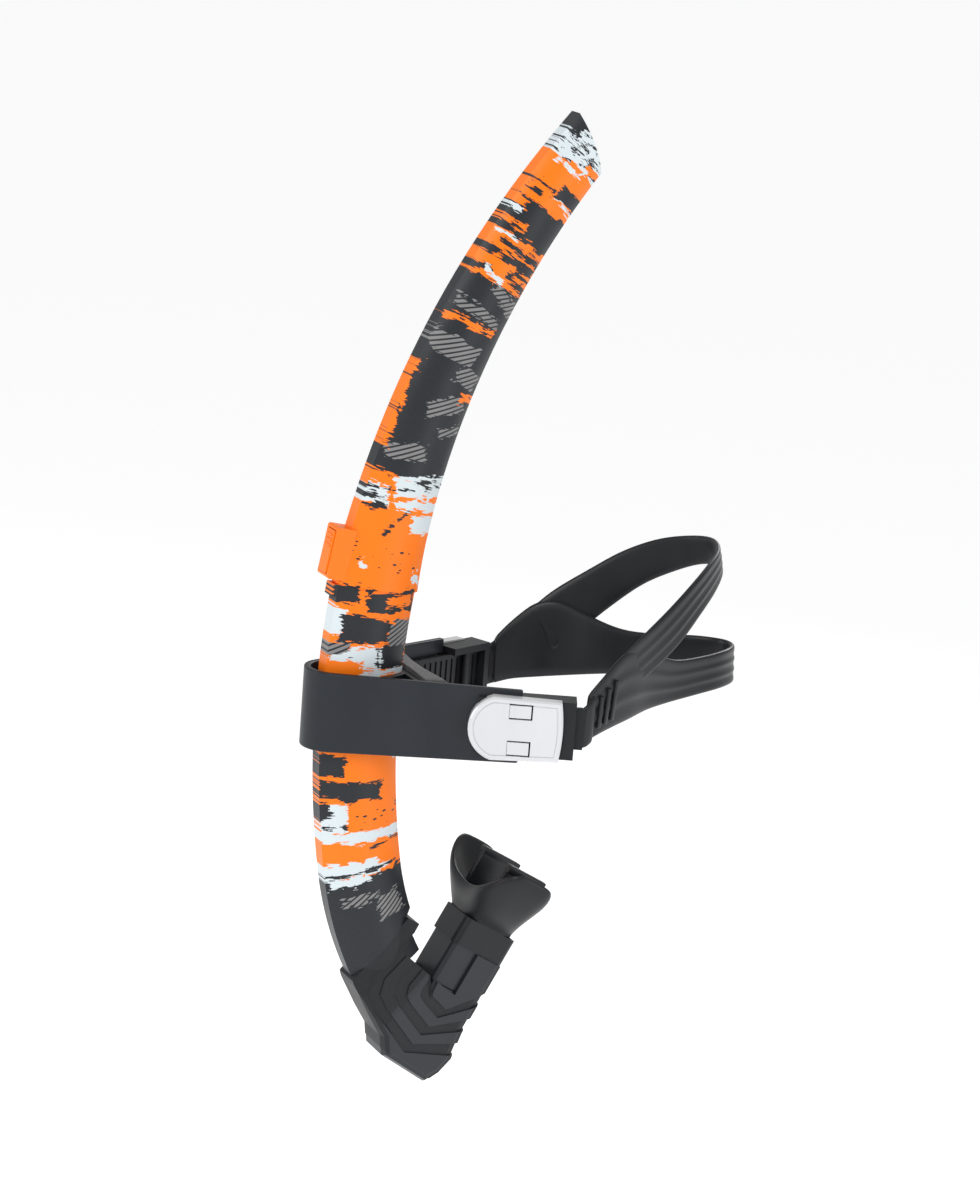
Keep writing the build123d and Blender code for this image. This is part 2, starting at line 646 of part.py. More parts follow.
def mouthpiece():
    """Soft neck, flared body, lip flange and two bite tabs in one moulding."""
    middle = (LEG_TOP + LEG_BACK) / 2
    flange_middle = middle + 4.0
    base = MOUTH_START + BAND_RING_HEIGHT
    neck = leg_box(MOUTH_START + 0.1, base + 0.2, LEG_BACK, LEG_TOP, LEG_HALF_WIDTH, 2.6)
    neck_height, neck_width = LEG_TOP - LEG_BACK + 1.2, 2 * LEG_HALF_WIDTH + 1.2
    low_face = leg_plane(base, middle) * RectangleRounded(neck_height, neck_width, 3.4)
    high_face = leg_plane(FLANGE_START + 7.0, flange_middle) * RectangleRounded(19.0, 50.0, 9.0)
    flare = loft([low_face, high_face])
    axis_place = FLANGE_START + FLANGE_BEND_RADIUS
    across = leg_plane(axis_place, flange_middle)
    turned = Plane(origin=across.origin, x_dir=across.z_dir, z_dir=across.x_dir)
    hollow = extrude(turned * Circle(FLANGE_BEND_RADIUS), 40, both=True)
    shell = extrude(turned * Circle(FLANGE_BEND_RADIUS + FLANGE_THICK), 40, both=True) - hollow
    lips = extrude(leg_plane(FLANGE_START - 5, flange_middle) * make_face(flange_outline()), 33)
    flange = shell & lips
    tabs = Part() + [bite_tab(side, flange_middle) for side in (1, -1)]
    low, high, half, corner = leg_spigot()
    grip_bore = leg_box(MOUTH_START, MOUTH_START + NECK_GRIP, low, high, half, corner)
    bore_plane = leg_plane(MOUTH_START + NECK_GRIP - 0.1, middle)
    bore_low = bore_plane * RectangleRounded(high - low - 4, 2 * half - 4, 4.0)
    bore_high = leg_plane(FLANGE_START + 6, flange_middle) * RectangleRounded(12.0, 20.0, 5.9)
    return neck + (flare - hollow) + flange + tabs - grip_bore - loft([bore_low, bore_high])


def bite_tab(side, flange_middle):
    """A tab held between the teeth, with a lug along its end."""
    start = FLANGE_START + 1.5
    plate_face = leg_plane(start, flange_middle) * Pos(0, side * TAB_SPREAD)
    plate = extrude(plate_face * RectangleRounded(TAB_HEIGHT, TAB_THICK, 1.4), TAB_LENGTH)
    lug_face = leg_plane(start + TAB_LENGTH - LUG_LENGTH, flange_middle) * Pos(0, side * (TAB_SPREAD + 1.0))
    lug = extrude(lug_face * RectangleRounded(TAB_HEIGHT, TAB_THICK + 2.0, 2.0), LUG_LENGTH)
    return plate + lug


# ---- head bracket

def arm_frame(along, out=0.0):
    """The left arm's axes at a distance along it: x along the arm, y up, z outwards."""
    turn = math.radians(ARM_ANGLE)
    base_x = NOSE_CENTRE_X - BAND_NOSE_RADIUS * math.sin(turn)
    base_y = -BAND_NOSE_RADIUS * math.cos(turn)
    x = base_x + along * math.cos(turn) - out * math.sin(turn)
    y = base_y - along * math.sin(turn) - out * math.cos(turn)
    return Plane(origin=(x, y, 0), x_dir=(math.cos(turn), -math.sin(turn), 0),
                 z_dir=(-math.sin(turn), -math.cos(turn), 0))


def arm_point(along, out=0.0):
    place = arm_frame(along, out).origin
    return place.X, place.Y


def mirrored(part):
    return mirror(part, Plane.XZ)


def band_prism(inner, outer, length):
    """The V-shaped wall between two depths measured outwards from the arm's outer face."""
    def half(out):
        radius = BAND_NOSE_RADIUS + out
        end = arm_point(length, out)
        start = arm_point(0, out)
        return start, end, NOSE_CENTRE_X - radius
    (start_o, end_o, nose_o), (start_i, end_i, nose_i) = half(outer), half(inner)
    with BuildSketch(Plane.XY) as sketch:
        with BuildLine():
            Line(end_o, start_o)
            ThreePointArc(start_o, (nose_o, 0), (start_o[0], -start_o[1]))
            Line((start_o[0], -start_o[1]), (end_o[0], -end_o[1]))
            Line((end_o[0], -end_o[1]), (end_i[0], -end_i[1]))
            Line((end_i[0], -end_i[1]), (start_i[0], -start_i[1]))
            ThreePointArc((start_i[0], -start_i[1]), (nose_i, 0), start_i)
            Line(start_i, end_i)
            Line(end_i, end_o)
        make_face()
    return extrude(sketch.sketch, 60, both=True)


def head_bracket():
    """The one-piece V band: round nose in front of the tube and two tapering arms."""
    wall = band_prism(-BAND_THICK, 0.0, ARM_LENGTH)
    front = NOSE_FRONT_X - 1
    rear = arm_point(ARM_LENGTH)[0] + 2
    half, end_half = BAND_HEIGHT / 2, BAND_END_HEIGHT / 2
    shape = side_prism([(front, -half), (rear, -end_half), (rear, end_half), (front, half)], 120)
    band = wall & shape
    relief_face = arm_frame(ARM_LENGTH, -BAND_THICK - 1) * Rectangle(8.0, BASE_HEIGHT - 6.0)
    relief = extrude(relief_face, BAND_THICK + 2)
    return band - relief - mirrored(relief)


def saddle_outline_x():
    """Front and rear of the saddle."""
    front = TUBE_X - 0.30 * TUBE_DEPTH
    rear = TUBE_X + TUBE_DEPTH / 2 + SLIDE_GAP + SADDLE_WALL
    return front, rear


def tube_saddle():
    """The block between the arms that the tube slides through, hollowed above and below its web."""
    front, rear = saddle_outline_x()
    solid = side_prism([(front, -SADDLE_HEIGHT / 2), (rear, -SADDLE_HEIGHT / 2), (rear, SADDLE_HEIGHT / 2),
                        (front, SADDLE_HEIGHT / 2)], 60)
    inside = inside_prism(-BAND_THICK)
    hole = arc_tube(-5.0, 5.0, TUBE_DEPTH + 2 * SLIDE_GAP, TUBE_WIDTH + 2 * SLIDE_GAP,
                    FRONT_FLAT + SLIDE_GAP, REAR_FLAT + SLIDE_GAP)
    area = side_prism([(front + SADDLE_WALL, -60), (rear - SADDLE_WALL, -60), (rear - SADDLE_WALL, 60),
                       (front + SADDLE_WALL, 60)], 60)
    grow = 2 * (SLIDE_GAP + SADDLE_WALL)
    core = arc_tube(-5.0, 5.0, TUBE_DEPTH + grow, TUBE_WIDTH + grow)
    half_web = SADDLE_WALL / 2
    web = side_prism([(-100, -half_web), (100, -half_web), (100, half_web), (-100, half_web)], 60)
    pockets = (area & inside_prism(-BAND_THICK - 2.0)) - core - web
    return (solid & inside) - hole - pockets


def inside_prism(out):
    """Everything between the arms, up to a depth measured from their outer faces."""
    start = arm_point(0, out)
    end = arm_point(ARM_LENGTH + 40, out)
    nose = NOSE_CENTRE_X - BAND_NOSE_RADIUS - out
    with BuildSketch(Plane.XY) as sketch:
        with BuildLine():
            Line(end, start)
            ThreePointArc(start, (nose, 0), (start[0], -start[1]))
            Line((start[0], -start[1]), (end[0], -end[1]))
            Line((end[0], -end[1]), end)
        make_face()
    return extrude(sketch.sketch, 60, both=True)


def forehead_pad():
    """The soft pad behind the saddle, hollowed a little to sit on the forehead."""
    back = -PAD_THICK
    near_x, near_y = arm_point(0, STRAP_IN)
    half = -near_y - near_x * math.tan(math.radians(ARM_ANGLE)) - PAD_GAP
    edge_x = half * 0.2
    with BuildSketch(Plane.XY) as sketch:
        with BuildLine():
            Line((edge_x, half), (back, half - 5.0))
            Line((back, half - 5.0), (back, 5.0 - half))
            Line((back, 5.0 - half), (edge_x, -half))
            ThreePointArc((edge_x, -half), (0, 0), (edge_x, half))
        make_face()
    return extrude(sketch.sketch, PAD_HEIGHT / 2, both=True)


# ---- buckles (left side; the right side is its mirror image)

def arm_box(start, end, low, high, bottom, top):
    """A block in the arm's axes: along it, across it (z) and out from its outer face."""
    frame = arm_frame((start + end) / 2, low)
    return extrude(frame * Pos(0, (bottom + top) / 2) * Rectangle(end - start, top - bottom), high - low)


def buckle_pin():
    """The guide pin that the strap turns on, seated in the base's two rails."""
    length = BASE_HEIGHT - 2.0
    return Pos(*arm_point(PIN_PLACE, PIN_OUT), -length / 2) * extrude(Circle(PIN_RADIUS), length)


def buckle_base():
    """The dark frame behind the cover: a plate on the arm and two rails that guide the strap."""
    start = BUCKLE_START + 4.0
    half = BASE_HEIGHT / 2
    inner = STRAP_HEIGHT / 2 + STRAP_GAP
    depth = PIN_OUT - PIN_RADIUS - 0.8
    plate = arm_box(start, BASE_END, 0, BASE_THICK, -half, half)
    rails = arm_box(ARM_LENGTH + 0.2, BASE_END, depth, 0.2, inner, half)
    rails += arm_box(ARM_LENGTH + 0.2, BASE_END, depth, 0.2, -half, -inner)
    bar = arm_box(BASE_END - 3.0, BASE_END, depth, STRAP_IN - STRAP_GAP, -half, half)
    window = arm_box(ARM_LENGTH + 5, BASE_END - 8.0, -1, BASE_THICK + 1, -5, 5)
    return plate + rails + bar - window - buckle_pin()


def cover_outline():
    """The cover's face: a broad round front and a slightly bowed rear."""
    front = BUCKLE_HEIGHT / 2
    rear = front - 0.8
    depth = 0.73 * front
    end = BUCKLE_LENGTH
    with BuildSketch() as sketch:
        with BuildLine():
            ThreePointArc((depth, -front), (0, 0), (depth, front))
            Line((depth, front), (end - 1.2, rear))
            ThreePointArc((end - 1.2, rear), (end, 0), (end - 1.2, -rear))
            Line((end - 1.2, -rear), (depth, -front))
        make_face()
    return sketch.sketch


def buckle_cover():
    """The glossy cover: a shell with a stepped rim and two openings for its spring fingers."""
    face = cover_outline()
    top = BASE_THICK + COVER_THICK
    skin = 1.6
    lift = 0.1
    shell = extrude(arm_frame(BUCKLE_START, lift) * face, top - lift)
    shell = chamfer(shell.edges().group_by(outwards)[-1], 0.8)
    hollow = extrude(arm_frame(BUCKLE_START, lift - 1) * offset(face, -1.5), top - skin - lift + 1)
    seat = arm_box(BUCKLE_START + 3.9, BASE_END + 5, -1, BASE_THICK, -BASE_HEIGHT / 2, BASE_HEIGHT / 2)
    rim = offset(face, -2.2) - offset(face, -2.6)
    line = extrude(arm_frame(BUCKLE_START, top - 0.3) * rim, 1)
    rear_open = arm_box(BUCKLE_START + BUCKLE_LENGTH - 4, BASE_END, -1, top - skin,
                        -BASE_HEIGHT / 2, BASE_HEIGHT / 2)
    openings = Part() + [finger_block(side, FINGER_SLOT, top + 1, top - skin - 1) for side in (1, -1)]
    arm_clear = arm_box(BUCKLE_START - 5, BASE_END, -5, lift, -20, 20)
    return shell - hollow - seat - line - rear_open - openings - arm_clear


def outwards(edge):
    """How far an edge's middle stands out from the left arm's outer face."""
    middle = edge.center()
    frame = arm_frame(0, 0)
    return round((middle - frame.origin).dot(frame.z_dir), 2)


def finger_block(side, slot, high, low):
    """A finger's block, grown by the slot on its long sides and at its free end."""
    centre = side * FINGER_OFFSET
    half = FINGER_HEIGHT / 2 + slot
    return arm_box(FINGER_START, FINGER_START + FINGER_LENGTH + slot, low, high, centre - half, centre + half)


def buckle_finger(side):
    """One spring finger of the cover, with a small tooth below its free end."""
    top = BASE_THICK + COVER_THICK
    low = side * FINGER_OFFSET - FINGER_HEIGHT / 2
    high = side * FINGER_OFFSET + FINGER_HEIGHT / 2
    end = FINGER_START + FINGER_LENGTH
    tongue = arm_box(FINGER_START + FINGER_ROOT, end, top - 1.5, top - 0.05, low, high)
    tooth = arm_box(end - 1.6, end, top - 2.5, top - 1.4, low + 1, high - 1)
    return tongue + tooth


# ---- head strap

def strap_cut():
    """Where the strap's middle line leaves the buckle: its x and y."""
    cut_x = arm_point(BASE_END)[0] + STRAP_CUT_REACH
    near_x, near_y = arm_point(BASE_END, (STRAP_OUT + STRAP_IN) / 2)
    return cut_x, near_y - (cut_x - near_x) * math.tan(math.radians(ARM_ANGLE))


CUT_X, CUT_Y = strap_cut()


def strap_end():
    """The strap's ribbed end inside the left arm and buckle, cut off just behind the buckle."""
    half = STRAP_HEIGHT / 2
    length = BASE_END - STRAP_TAIL + 30
    frame = arm_frame(STRAP_TAIL, STRAP_IN)
    body = extrude(frame * Pos(length / 2, 0) * RectangleRounded(length, STRAP_HEIGHT, 5.0), STRAP_THICK)
    limit = side_prism([(-200, -60), (CUT_X, -60), (CUT_X, 60), (-200, 60)], 140)
    count = int((BASE_END - STRAP_TAIL) / STRAP_RIB_PITCH) - 1
    first = STRAP_TAIL + STRAP_RIB_PITCH
    grooves = Part() + [
        arm_box(first + i * STRAP_RIB_PITCH, first + i * STRAP_RIB_PITCH + STRAP_RIB_WIDTH,
                STRAP_IN - 1, STRAP_IN + STRAP_RIB_DEPTH, 2.2 - half, half - 2.2)
        for i in range(count)
    ]
    return (body & limit) - grooves


def beside(path, out):
    """A plan line beside the strap's middle line, from one buckle round the head to the other."""
    moved = []
    last = len(path) - 1
    for k, (x, y) in enumerate(path):
        ahead = path[min(k + 1, last)]
        behind = path[max(k - 1, 0)]
        turn = math.atan2(ahead[1] - behind[1], ahead[0] - behind[0])
        if k == 0:
            moved.append((x, y - out / math.cos(turn)))
        elif k == last:
            moved.append((x + out, y))
        else:
            moved.append((x + out * math.sin(turn), y - out * math.cos(turn)))
    return moved + [(x, -y) for x, y in moved[-2::-1]]


def ribbon(plan, reach):
    """An upright wall of the strap's thickness, from one buckle round the head to the other."""
    path = [(CUT_X, CUT_Y)] + [(CUT_X + x, CUT_Y * (1 - share)) for x, share in plan] + [(CUT_X + reach, 0)]
    outer = beside(path, STRAP_THICK / 2)
    inner = beside(path, -STRAP_THICK / 2)
    with BuildSketch(Plane.XY) as sketch:
        with BuildLine():
            Spline(*outer)
            Line(outer[-1], inner[-1])
            Spline(*inner)
            Line(outer[0], inner[0])
        make_face()
    return extrude(sketch.sketch, 120, both=True)


def from_cut(points):
    """Side-view places given from the strap's cut behind the buckle."""
    return [(CUT_X + x, z) for x, z in points]


# The bands' middle lines in plan, as the distance behind the cut and the share of the way in from the
# cut to the middle plane, and the bands' outlines in the side view.
LOWER_PLAN = [(9.0, 0.019), (19.0, 0.126), (33.0, 0.314), (49.0, 0.464), (75.0, 0.633), (93.0, 0.80)]
UPPER_PLAN = [(9.0, 0.011), (23.0, 0.12), (50.0, 0.314), (70.0, 0.53), (83.0, 0.77)]
FORK = from_cut([(FORK_REACH, 15.0), (FORK_REACH, 35.0)])
ROOT_BOTTOM = from_cut([(0, -STRAP_HEIGHT / 2), (8.0, -6.5), (25.0, -2.5)])
ROOT_TOP = from_cut([(11.0, 23.5), (0, STRAP_HEIGHT / 2)])
LOWER_SHAPE = from_cut([(45.0, 1.0), (75.0, 3.5), (115.0, 4.5), (115.0, 22.5), (75.0, 21.5), (53.0, 22.0),
                        (47.0, 25.0)])
UPPER_SHAPE = from_cut([(47.0, 26.0), (52.0, 31.0), (65.0, 42.0), (77.0, 51.0), (87.0, 57.0), (115.0, 62.0),
                        (115.0, 78.0), (85.0, 71.5), (70.0, 66.0), (57.0, 59.0), (40.0, 47.0)])


def strap_lower_band():
    """The two roots behind the buckles and the lower band round the back of the head."""
    outline = ROOT_BOTTOM + LOWER_SHAPE + FORK + ROOT_TOP
    return ribbon(LOWER_PLAN, LOWER_REACH) & side_prism(outline, 140)


def strap_upper_band():
    """The upper band, which leaves the roots where they fork."""
    outline = [FORK[0]] + UPPER_SHAPE + [FORK[1]]
    return ribbon(UPPER_PLAN, UPPER_REACH) & side_prism(outline, 140)


def write(name, part):
    part.label = name
    export_step(part, os.path.join("parts", name + ".step"))


def main():
    write("upper_tube", upper_tube())
    write("latch_button", latch_button())
    write("latch_spring", latch_spring())
    write("lower_tube", lower_tube())
    write("tube_seal", tube_seal())
    write("elbow_body", elbow_body())
    write("elbow_sleeve", elbow_sleeve())
    write("purge_seat", purge_seat())
    write("purge_disc", purge_disc())
    write("purge_cover", purge_cover())
    write("mouthpiece_tube", mouthpiece_tube())
    write("leg_seal", leg_seal())
    write("neck_band", neck_band())
    write("mouthpiece", mouthpiece())
    write("head_bracket", head_bracket())
    write("tube_saddle", tube_saddle())
    write("forehead_pad", forehead_pad())
    write("strap_lower_band", strap_lower_band())
    write("strap_upper_band", strap_upper_band())
    left = {
        "buckle_base": buckle_base(),
        "buckle_cover": buckle_cover(),
        "buckle_pin": buckle_pin(),
        "upper_finger": buckle_finger(1),
        "lower_finger": buckle_finger(-1),
        "strap_end": strap_end(),
    }
    for name, part in left.items():
        write(name + "_left", part)
        write(name + "_right", mirrored(part))


main()
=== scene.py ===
import math

import bmesh
import bpy
from mathutils import Matrix, Vector


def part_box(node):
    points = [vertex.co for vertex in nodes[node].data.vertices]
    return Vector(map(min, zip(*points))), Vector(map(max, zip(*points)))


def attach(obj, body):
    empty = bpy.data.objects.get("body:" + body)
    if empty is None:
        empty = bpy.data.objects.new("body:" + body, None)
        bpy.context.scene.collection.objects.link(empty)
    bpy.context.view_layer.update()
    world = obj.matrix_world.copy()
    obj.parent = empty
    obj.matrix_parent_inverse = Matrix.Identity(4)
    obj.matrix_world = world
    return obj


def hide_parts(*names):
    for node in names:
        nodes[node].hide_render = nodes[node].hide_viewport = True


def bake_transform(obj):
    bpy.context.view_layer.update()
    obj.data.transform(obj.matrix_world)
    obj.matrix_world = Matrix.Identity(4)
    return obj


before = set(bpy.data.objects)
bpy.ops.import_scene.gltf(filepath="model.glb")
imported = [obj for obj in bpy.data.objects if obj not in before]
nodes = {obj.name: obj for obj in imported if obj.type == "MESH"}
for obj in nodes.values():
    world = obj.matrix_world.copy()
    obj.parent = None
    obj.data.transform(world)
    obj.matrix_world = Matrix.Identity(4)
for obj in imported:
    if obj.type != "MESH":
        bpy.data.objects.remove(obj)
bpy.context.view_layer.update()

# The tube's centreline is an arc about a point far behind the head.
ARC_X, ARC_Z, ARC_RADIUS = 0.373, -0.0036, 0.403
LEG_ANGLE = math.radians(61)
LEG_ORIGIN = Vector((0.0376, 0, -0.1225))
LEG_ALONG = Vector((math.cos(LEG_ANGLE), 0, math.sin(LEG_ANGLE)))
LEG_UP = Vector((-math.sin(LEG_ANGLE), 0, math.cos(LEG_ANGLE)))


# Camera: its direction from the part and its tilt in degrees, and in metres its aim and distance.
AZIMUTH, ELEVATION, ROLL = -25, 13.5, 4.4
AIM = Vector((0.0304, 0, 0.0468))
DISTANCE, LENS = 1.6, 108.2
FLOOR_HEIGHT = -0.62


# ---- camera, light and floor

def camera():
    azimuth, elevation, roll = (math.radians(angle) for angle in (AZIMUTH, ELEVATION, ROLL))
    back = Vector((math.sin(azimuth) * math.cos(elevation),
                   -math.cos(azimuth) * math.cos(elevation),
                   math.sin(elevation)))
    level = Vector((math.cos(azimuth), math.sin(azimuth), 0))
    upright = back.cross(level)
    right = level * math.cos(roll) + upright * math.sin(roll)
    up = upright * math.cos(roll) - level * math.sin(roll)
    data = bpy.data.cameras.new("camera")
    data.lens = LENS
    data.clip_end = 20
    cam = bpy.data.objects.new("camera", data)
    bpy.context.scene.collection.objects.link(cam)
    turn = Matrix((right, up, back)).transposed()
    cam.matrix_world = Matrix.Translation(AIM + back * DISTANCE) @ turn.to_4x4()
    bpy.context.scene.camera = cam


def soft_light(name, place, aim, size, power):
    data = bpy.data.lights.new(name, "AREA")
    data.shape = "RECTANGLE"
    data.size = size
    data.size_y = size * 1.4
    data.energy = power
    lamp = bpy.data.objects.new(name, data)
    bpy.context.scene.collection.objects.link(lamp)
    lamp.location = place
    lamp.rotation_euler = (Vector(aim) - Vector(place)).to_track_quat("-Z", "Y").to_euler()


def studio():
    world = bpy.data.worlds.new("studio")
    world.use_nodes = True
    world.node_tree.nodes["Background"].inputs["Color"].default_value = (1, 1, 1, 1)
    world.node_tree.nodes["Background"].inputs["Strength"].default_value = 0.55
    scene = bpy.context.scene
    scene.world = world
    scene.view_settings.view_transform = "Standard"
    soft_light("key", (-1.1, -1.3, 1.3), (0, 0, 0), 0.8, 17)
    soft_light("side", (-1.5, 0.3, 0.4), (0, 0, 0), 0.5, 5)
    soft_light("rim", (1.2, 1.0, 1.1), (0, 0, 0), 0.7, 14)
    soft_light("front_fill", (1.0, -1.6, 0.1), (0.05, 0, 0), 0.9, 6)
    bm = bmesh.new()
    bmesh.ops.create_grid(bm, x_segments=1, y_segments=1, size=60)
    bmesh.ops.translate(bm, vec=(0, 0, FLOOR_HEIGHT), verts=bm.verts)
    floor = solid_object("floor", bm)
    paint, _, shader = material("floor_paint", (0.96, 0.96, 0.965), 0.9)
    shader.inputs["Emission Color"].default_value = (1, 1, 1, 1)
    shader.inputs["Emission Strength"].default_value = 0.42
    floor.data.materials.append(paint)


def solid_object(name, bm):
    mesh = bpy.data.meshes.new(name)
    for face in bm.faces:
        face.smooth = True
    bm.to_mesh(mesh)
    bm.free()
    made = bpy.data.objects.new(name, mesh)
    bpy.context.scene.collection.objects.link(made)
    return made


def rounded(piece):
    """Rounds a soft piece by one level of subdivision."""
    smooth = piece.modifiers.new("smooth", "SUBSURF")
    smooth.levels = 1
    smooth.render_levels = 1


# ---- node building

class Net:
    """Adds nodes to one tree and links them by value or by socket."""

    def __init__(self, tree):
        self.tree = tree

    def add(self, kind, **settings):
        node = self.tree.nodes.new(kind)
        for key, value in settings.items():
            setattr(node, key, value)
        return node

    def feed(self, socket, value):
        if isinstance(value, bpy.types.NodeSocket):
            self.tree.links.new(value, socket)
        else:
            socket.default_value = value

    def math(self, operation, a, b=0.0, c=0.0, clamp=False):
        node = self.add("ShaderNodeMath", operation=operation, use_clamp=clamp)
        for socket, value in zip(node.inputs, (a, b, c)):
            self.feed(socket, value)
        return node.outputs[0]

    def blend(self, share, a, b):
        node = self.add("ShaderNodeMix", data_type="RGBA")
        self.feed(node.inputs["Factor"], share)
        self.feed(node.inputs[6], a)
        self.feed(node.inputs[7], b)
        return node.outputs[2]

    def spread(self, value, low, high, to_low=0.0, to_high=1.0):
        node = self.add("ShaderNodeMapRange", clamp=True)
        for name, given in (("Value", value), ("From Min", low), ("From Max", high),
                            ("To Min", to_low), ("To Max", to_high)):
            self.feed(node.inputs[name], given)
        return node.outputs[0]

    def vector(self, x, y, z):
        node = self.add("ShaderNodeCombineXYZ")
        for socket, value in zip(node.inputs, (x, y, z)):
            self.feed(socket, value)
        return node.outputs[0]

    def place(self):
        return self.add("ShaderNodeTexCoord").outputs["Object"]

    def mapped(self, vector, scale=(1, 1, 1), turn=(0, 0, 0), shift=(0, 0, 0)):
        node = self.add("ShaderNodeMapping")
        self.feed(node.inputs["Vector"], vector)
        node.inputs["Scale"].default_value = scale
        node.inputs["Rotation"].default_value = turn
        node.inputs["Location"].default_value = shift
        return node.outputs[0]

    def noise(self, vector, scale, detail=3.0, roughness=0.5):
        node = self.add("ShaderNodeTexNoise")
        self.feed(node.inputs["Vector"], vector)
        self.feed(node.inputs["Scale"], scale)
        node.inputs["Detail"].default_value = detail
        node.inputs["Roughness"].default_value = roughness
        return node.outputs["Fac"]

    def cells(self, vector, scale, distance="CHEBYCHEV"):
        node = self.add("ShaderNodeTexVoronoi", distance=distance)
        self.feed(node.inputs["Vector"], vector)
        self.feed(node.inputs["Scale"], scale)
        return node

    def parts(self, vector):
        node = self.add("ShaderNodeSeparateXYZ")
        self.feed(node.inputs[0], vector)
        return node.outputs


def material(name, colour, roughness, coat=0.0, coat_roughness=0.1, sheen=0.0, metallic=0.0,
             specular=0.5):
    made = bpy.data.materials.new(name)
    made.use_nodes = True
    shader = made.node_tree.nodes["Principled BSDF"]
    shader.inputs["Base Color"].default_value = (*colour, 1)
    shader.inputs["Roughness"].default_value = roughness
    shader.inputs["Coat Weight"].default_value = coat
    shader.inputs["Coat Roughness"].default_value = coat_roughness
    shader.inputs["Sheen Weight"].default_value = sheen
    shader.inputs["Sheen Roughness"].default_value = 0.4
    shader.inputs["Metallic"].default_value = metallic
    shader.inputs["Specular IOR Level"].default_value = specular
    return made, Net(made.node_tree), shader


def group(name, inputs, outputs):
    """A node group with named sockets, and its net, entry and exit nodes."""
    tree = bpy.data.node_groups.new(name, "ShaderNodeTree")
    for label, kind, value in inputs:
        socket = tree.interface.new_socket(label, in_out="INPUT", socket_type=kind)
        if value is not None:
            socket.default_value = value
    for label, kind in outputs:
        tree.interface.new_socket(label, in_out="OUTPUT", socket_type=kind)
    net = Net(tree)
    return tree, net, net.add("NodeGroupInput"), net.add("NodeGroupOutput")


def moulded_surface():
    """Fine moulding grain, broad flow marks and handling scratches for plastic and rubber."""
    tree, net, entry, leave = group(
        "moulded_surface",
        [("Grain Scale", "NodeSocketFloat", 2500.0), ("Grain Depth", "NodeSocketFloat", 0.3),
         ("Roughness", "NodeSocketFloat", 0.4), ("Variation", "NodeSocketFloat", 0.1),
         ("Colour", "NodeSocketColor", (0.5, 0.5, 0.5, 1)),
         ("Light Colour", "NodeSocketColor", (0.6, 0.6, 0.6, 1))],
        [("Colour", "NodeSocketColor"), ("Roughness", "NodeSocketFloat"), ("Height", "NodeSocketFloat")])
    place = net.place()
    grain = net.noise(place, entry.outputs["Grain Scale"], 2.0, 0.6)
    flow = net.noise(net.mapped(place, (1, 1, 0.5)), 35.0, 4.0, 0.55)
    scratch_field = net.noise(net.mapped(place, (1, 1, 0.06), (0.4, 0.9, 0.3)), 900.0, 2.0)
    scratch = net.spread(scratch_field, 0.70, 0.76)
    patchy = net.spread(net.noise(place, 60.0, 2.0), 0.50, 0.72)
    scratch = net.math("MULTIPLY", scratch, patchy)
    height = net.math("MULTIPLY", grain, entry.outputs["Grain Depth"])
    height = net.math("MULTIPLY_ADD", scratch, -0.25, height)
    spread = net.math("MULTIPLY", net.math("SUBTRACT", flow, 0.5), entry.outputs["Variation"])
    rough = net.math("ADD", entry.outputs["Roughness"], net.math("MULTIPLY", spread, 2.0))
    rough = net.math("MULTIPLY_ADD", scratch, 0.15, rough, clamp=True)
    shade = net.math("MULTIPLY_ADD", scratch, 0.5, net.spread(flow, 0.35, 0.75, 0.0, 0.6), clamp=True)
    colour = net.blend(shade, entry.outputs["Colour"], entry.outputs["Light Colour"])
    for label, value in (("Colour", colour), ("Roughness", rough), ("Height", height)):
        net.feed(leave.inputs[label], value)
    return tree


def moulded(net, grain_scale, grain_depth, roughness, variation):
    """The moulded surface's node in one material, with its settings."""
    node = net.add("ShaderNodeGroup", node_tree=MOULDED)
    for label, value in (("Grain Scale", grain_scale), ("Grain Depth", grain_depth),
                         ("Roughness", roughness), ("Variation", variation)):
        net.feed(node.inputs[label], value)
    return node


def dressed(net, shader, surface, colour, strength, distance):
    """Links colour and the moulded surface's roughness and bump to the shader."""
    bump = net.add("ShaderNodeBump")
    bump.inputs["Strength"].default_value = strength
    bump.inputs["Distance"].default_value = distance
    net.feed(bump.inputs["Height"], surface.outputs["Height"])
    net.feed(shader.inputs["Base Color"], colour)
    net.feed(shader.inputs["Roughness"], surface.outputs["Roughness"])
    net.feed(shader.inputs["Normal"], bump.outputs["Normal"])


def surfaced(made, colour, light, roughness, grain_scale, grain_depth, variation, strength=0.25):
    """Puts the moulded surface, between two close colours, on a material."""
    finish, net, shader = made
    surface = moulded(net, grain_scale, grain_depth, roughness, variation)
    net.feed(surface.inputs["Colour"], (*colour, 1))
    net.feed(surface.inputs["Light Colour"], (*light, 1))
    dressed(net, shader, surface, surface.outputs["Colour"], strength, 0.0003)
    return finish


# ---- the tube's print: torn patches of paint over orange, with hatching and specks

ORANGE = (0.93, 0.185, 0.0)
CHARCOAL = (0.015, 0.018, 0.022)
PALE = (0.62, 0.69, 0.72)
GREY = (0.21, 0.205, 0.205)

# The upper tube's taper in millimetres: where it runs along the tube, and its half sizes at both ends.
TAPER_RUN = (57.0, 280.0)
TAPER_HALF_DEPTH = (19.4, 13.2)
TAPER_HALF_WIDTH = (11.0, 8.0)
SKIN, BARE_FROM = 1.5, 62.0


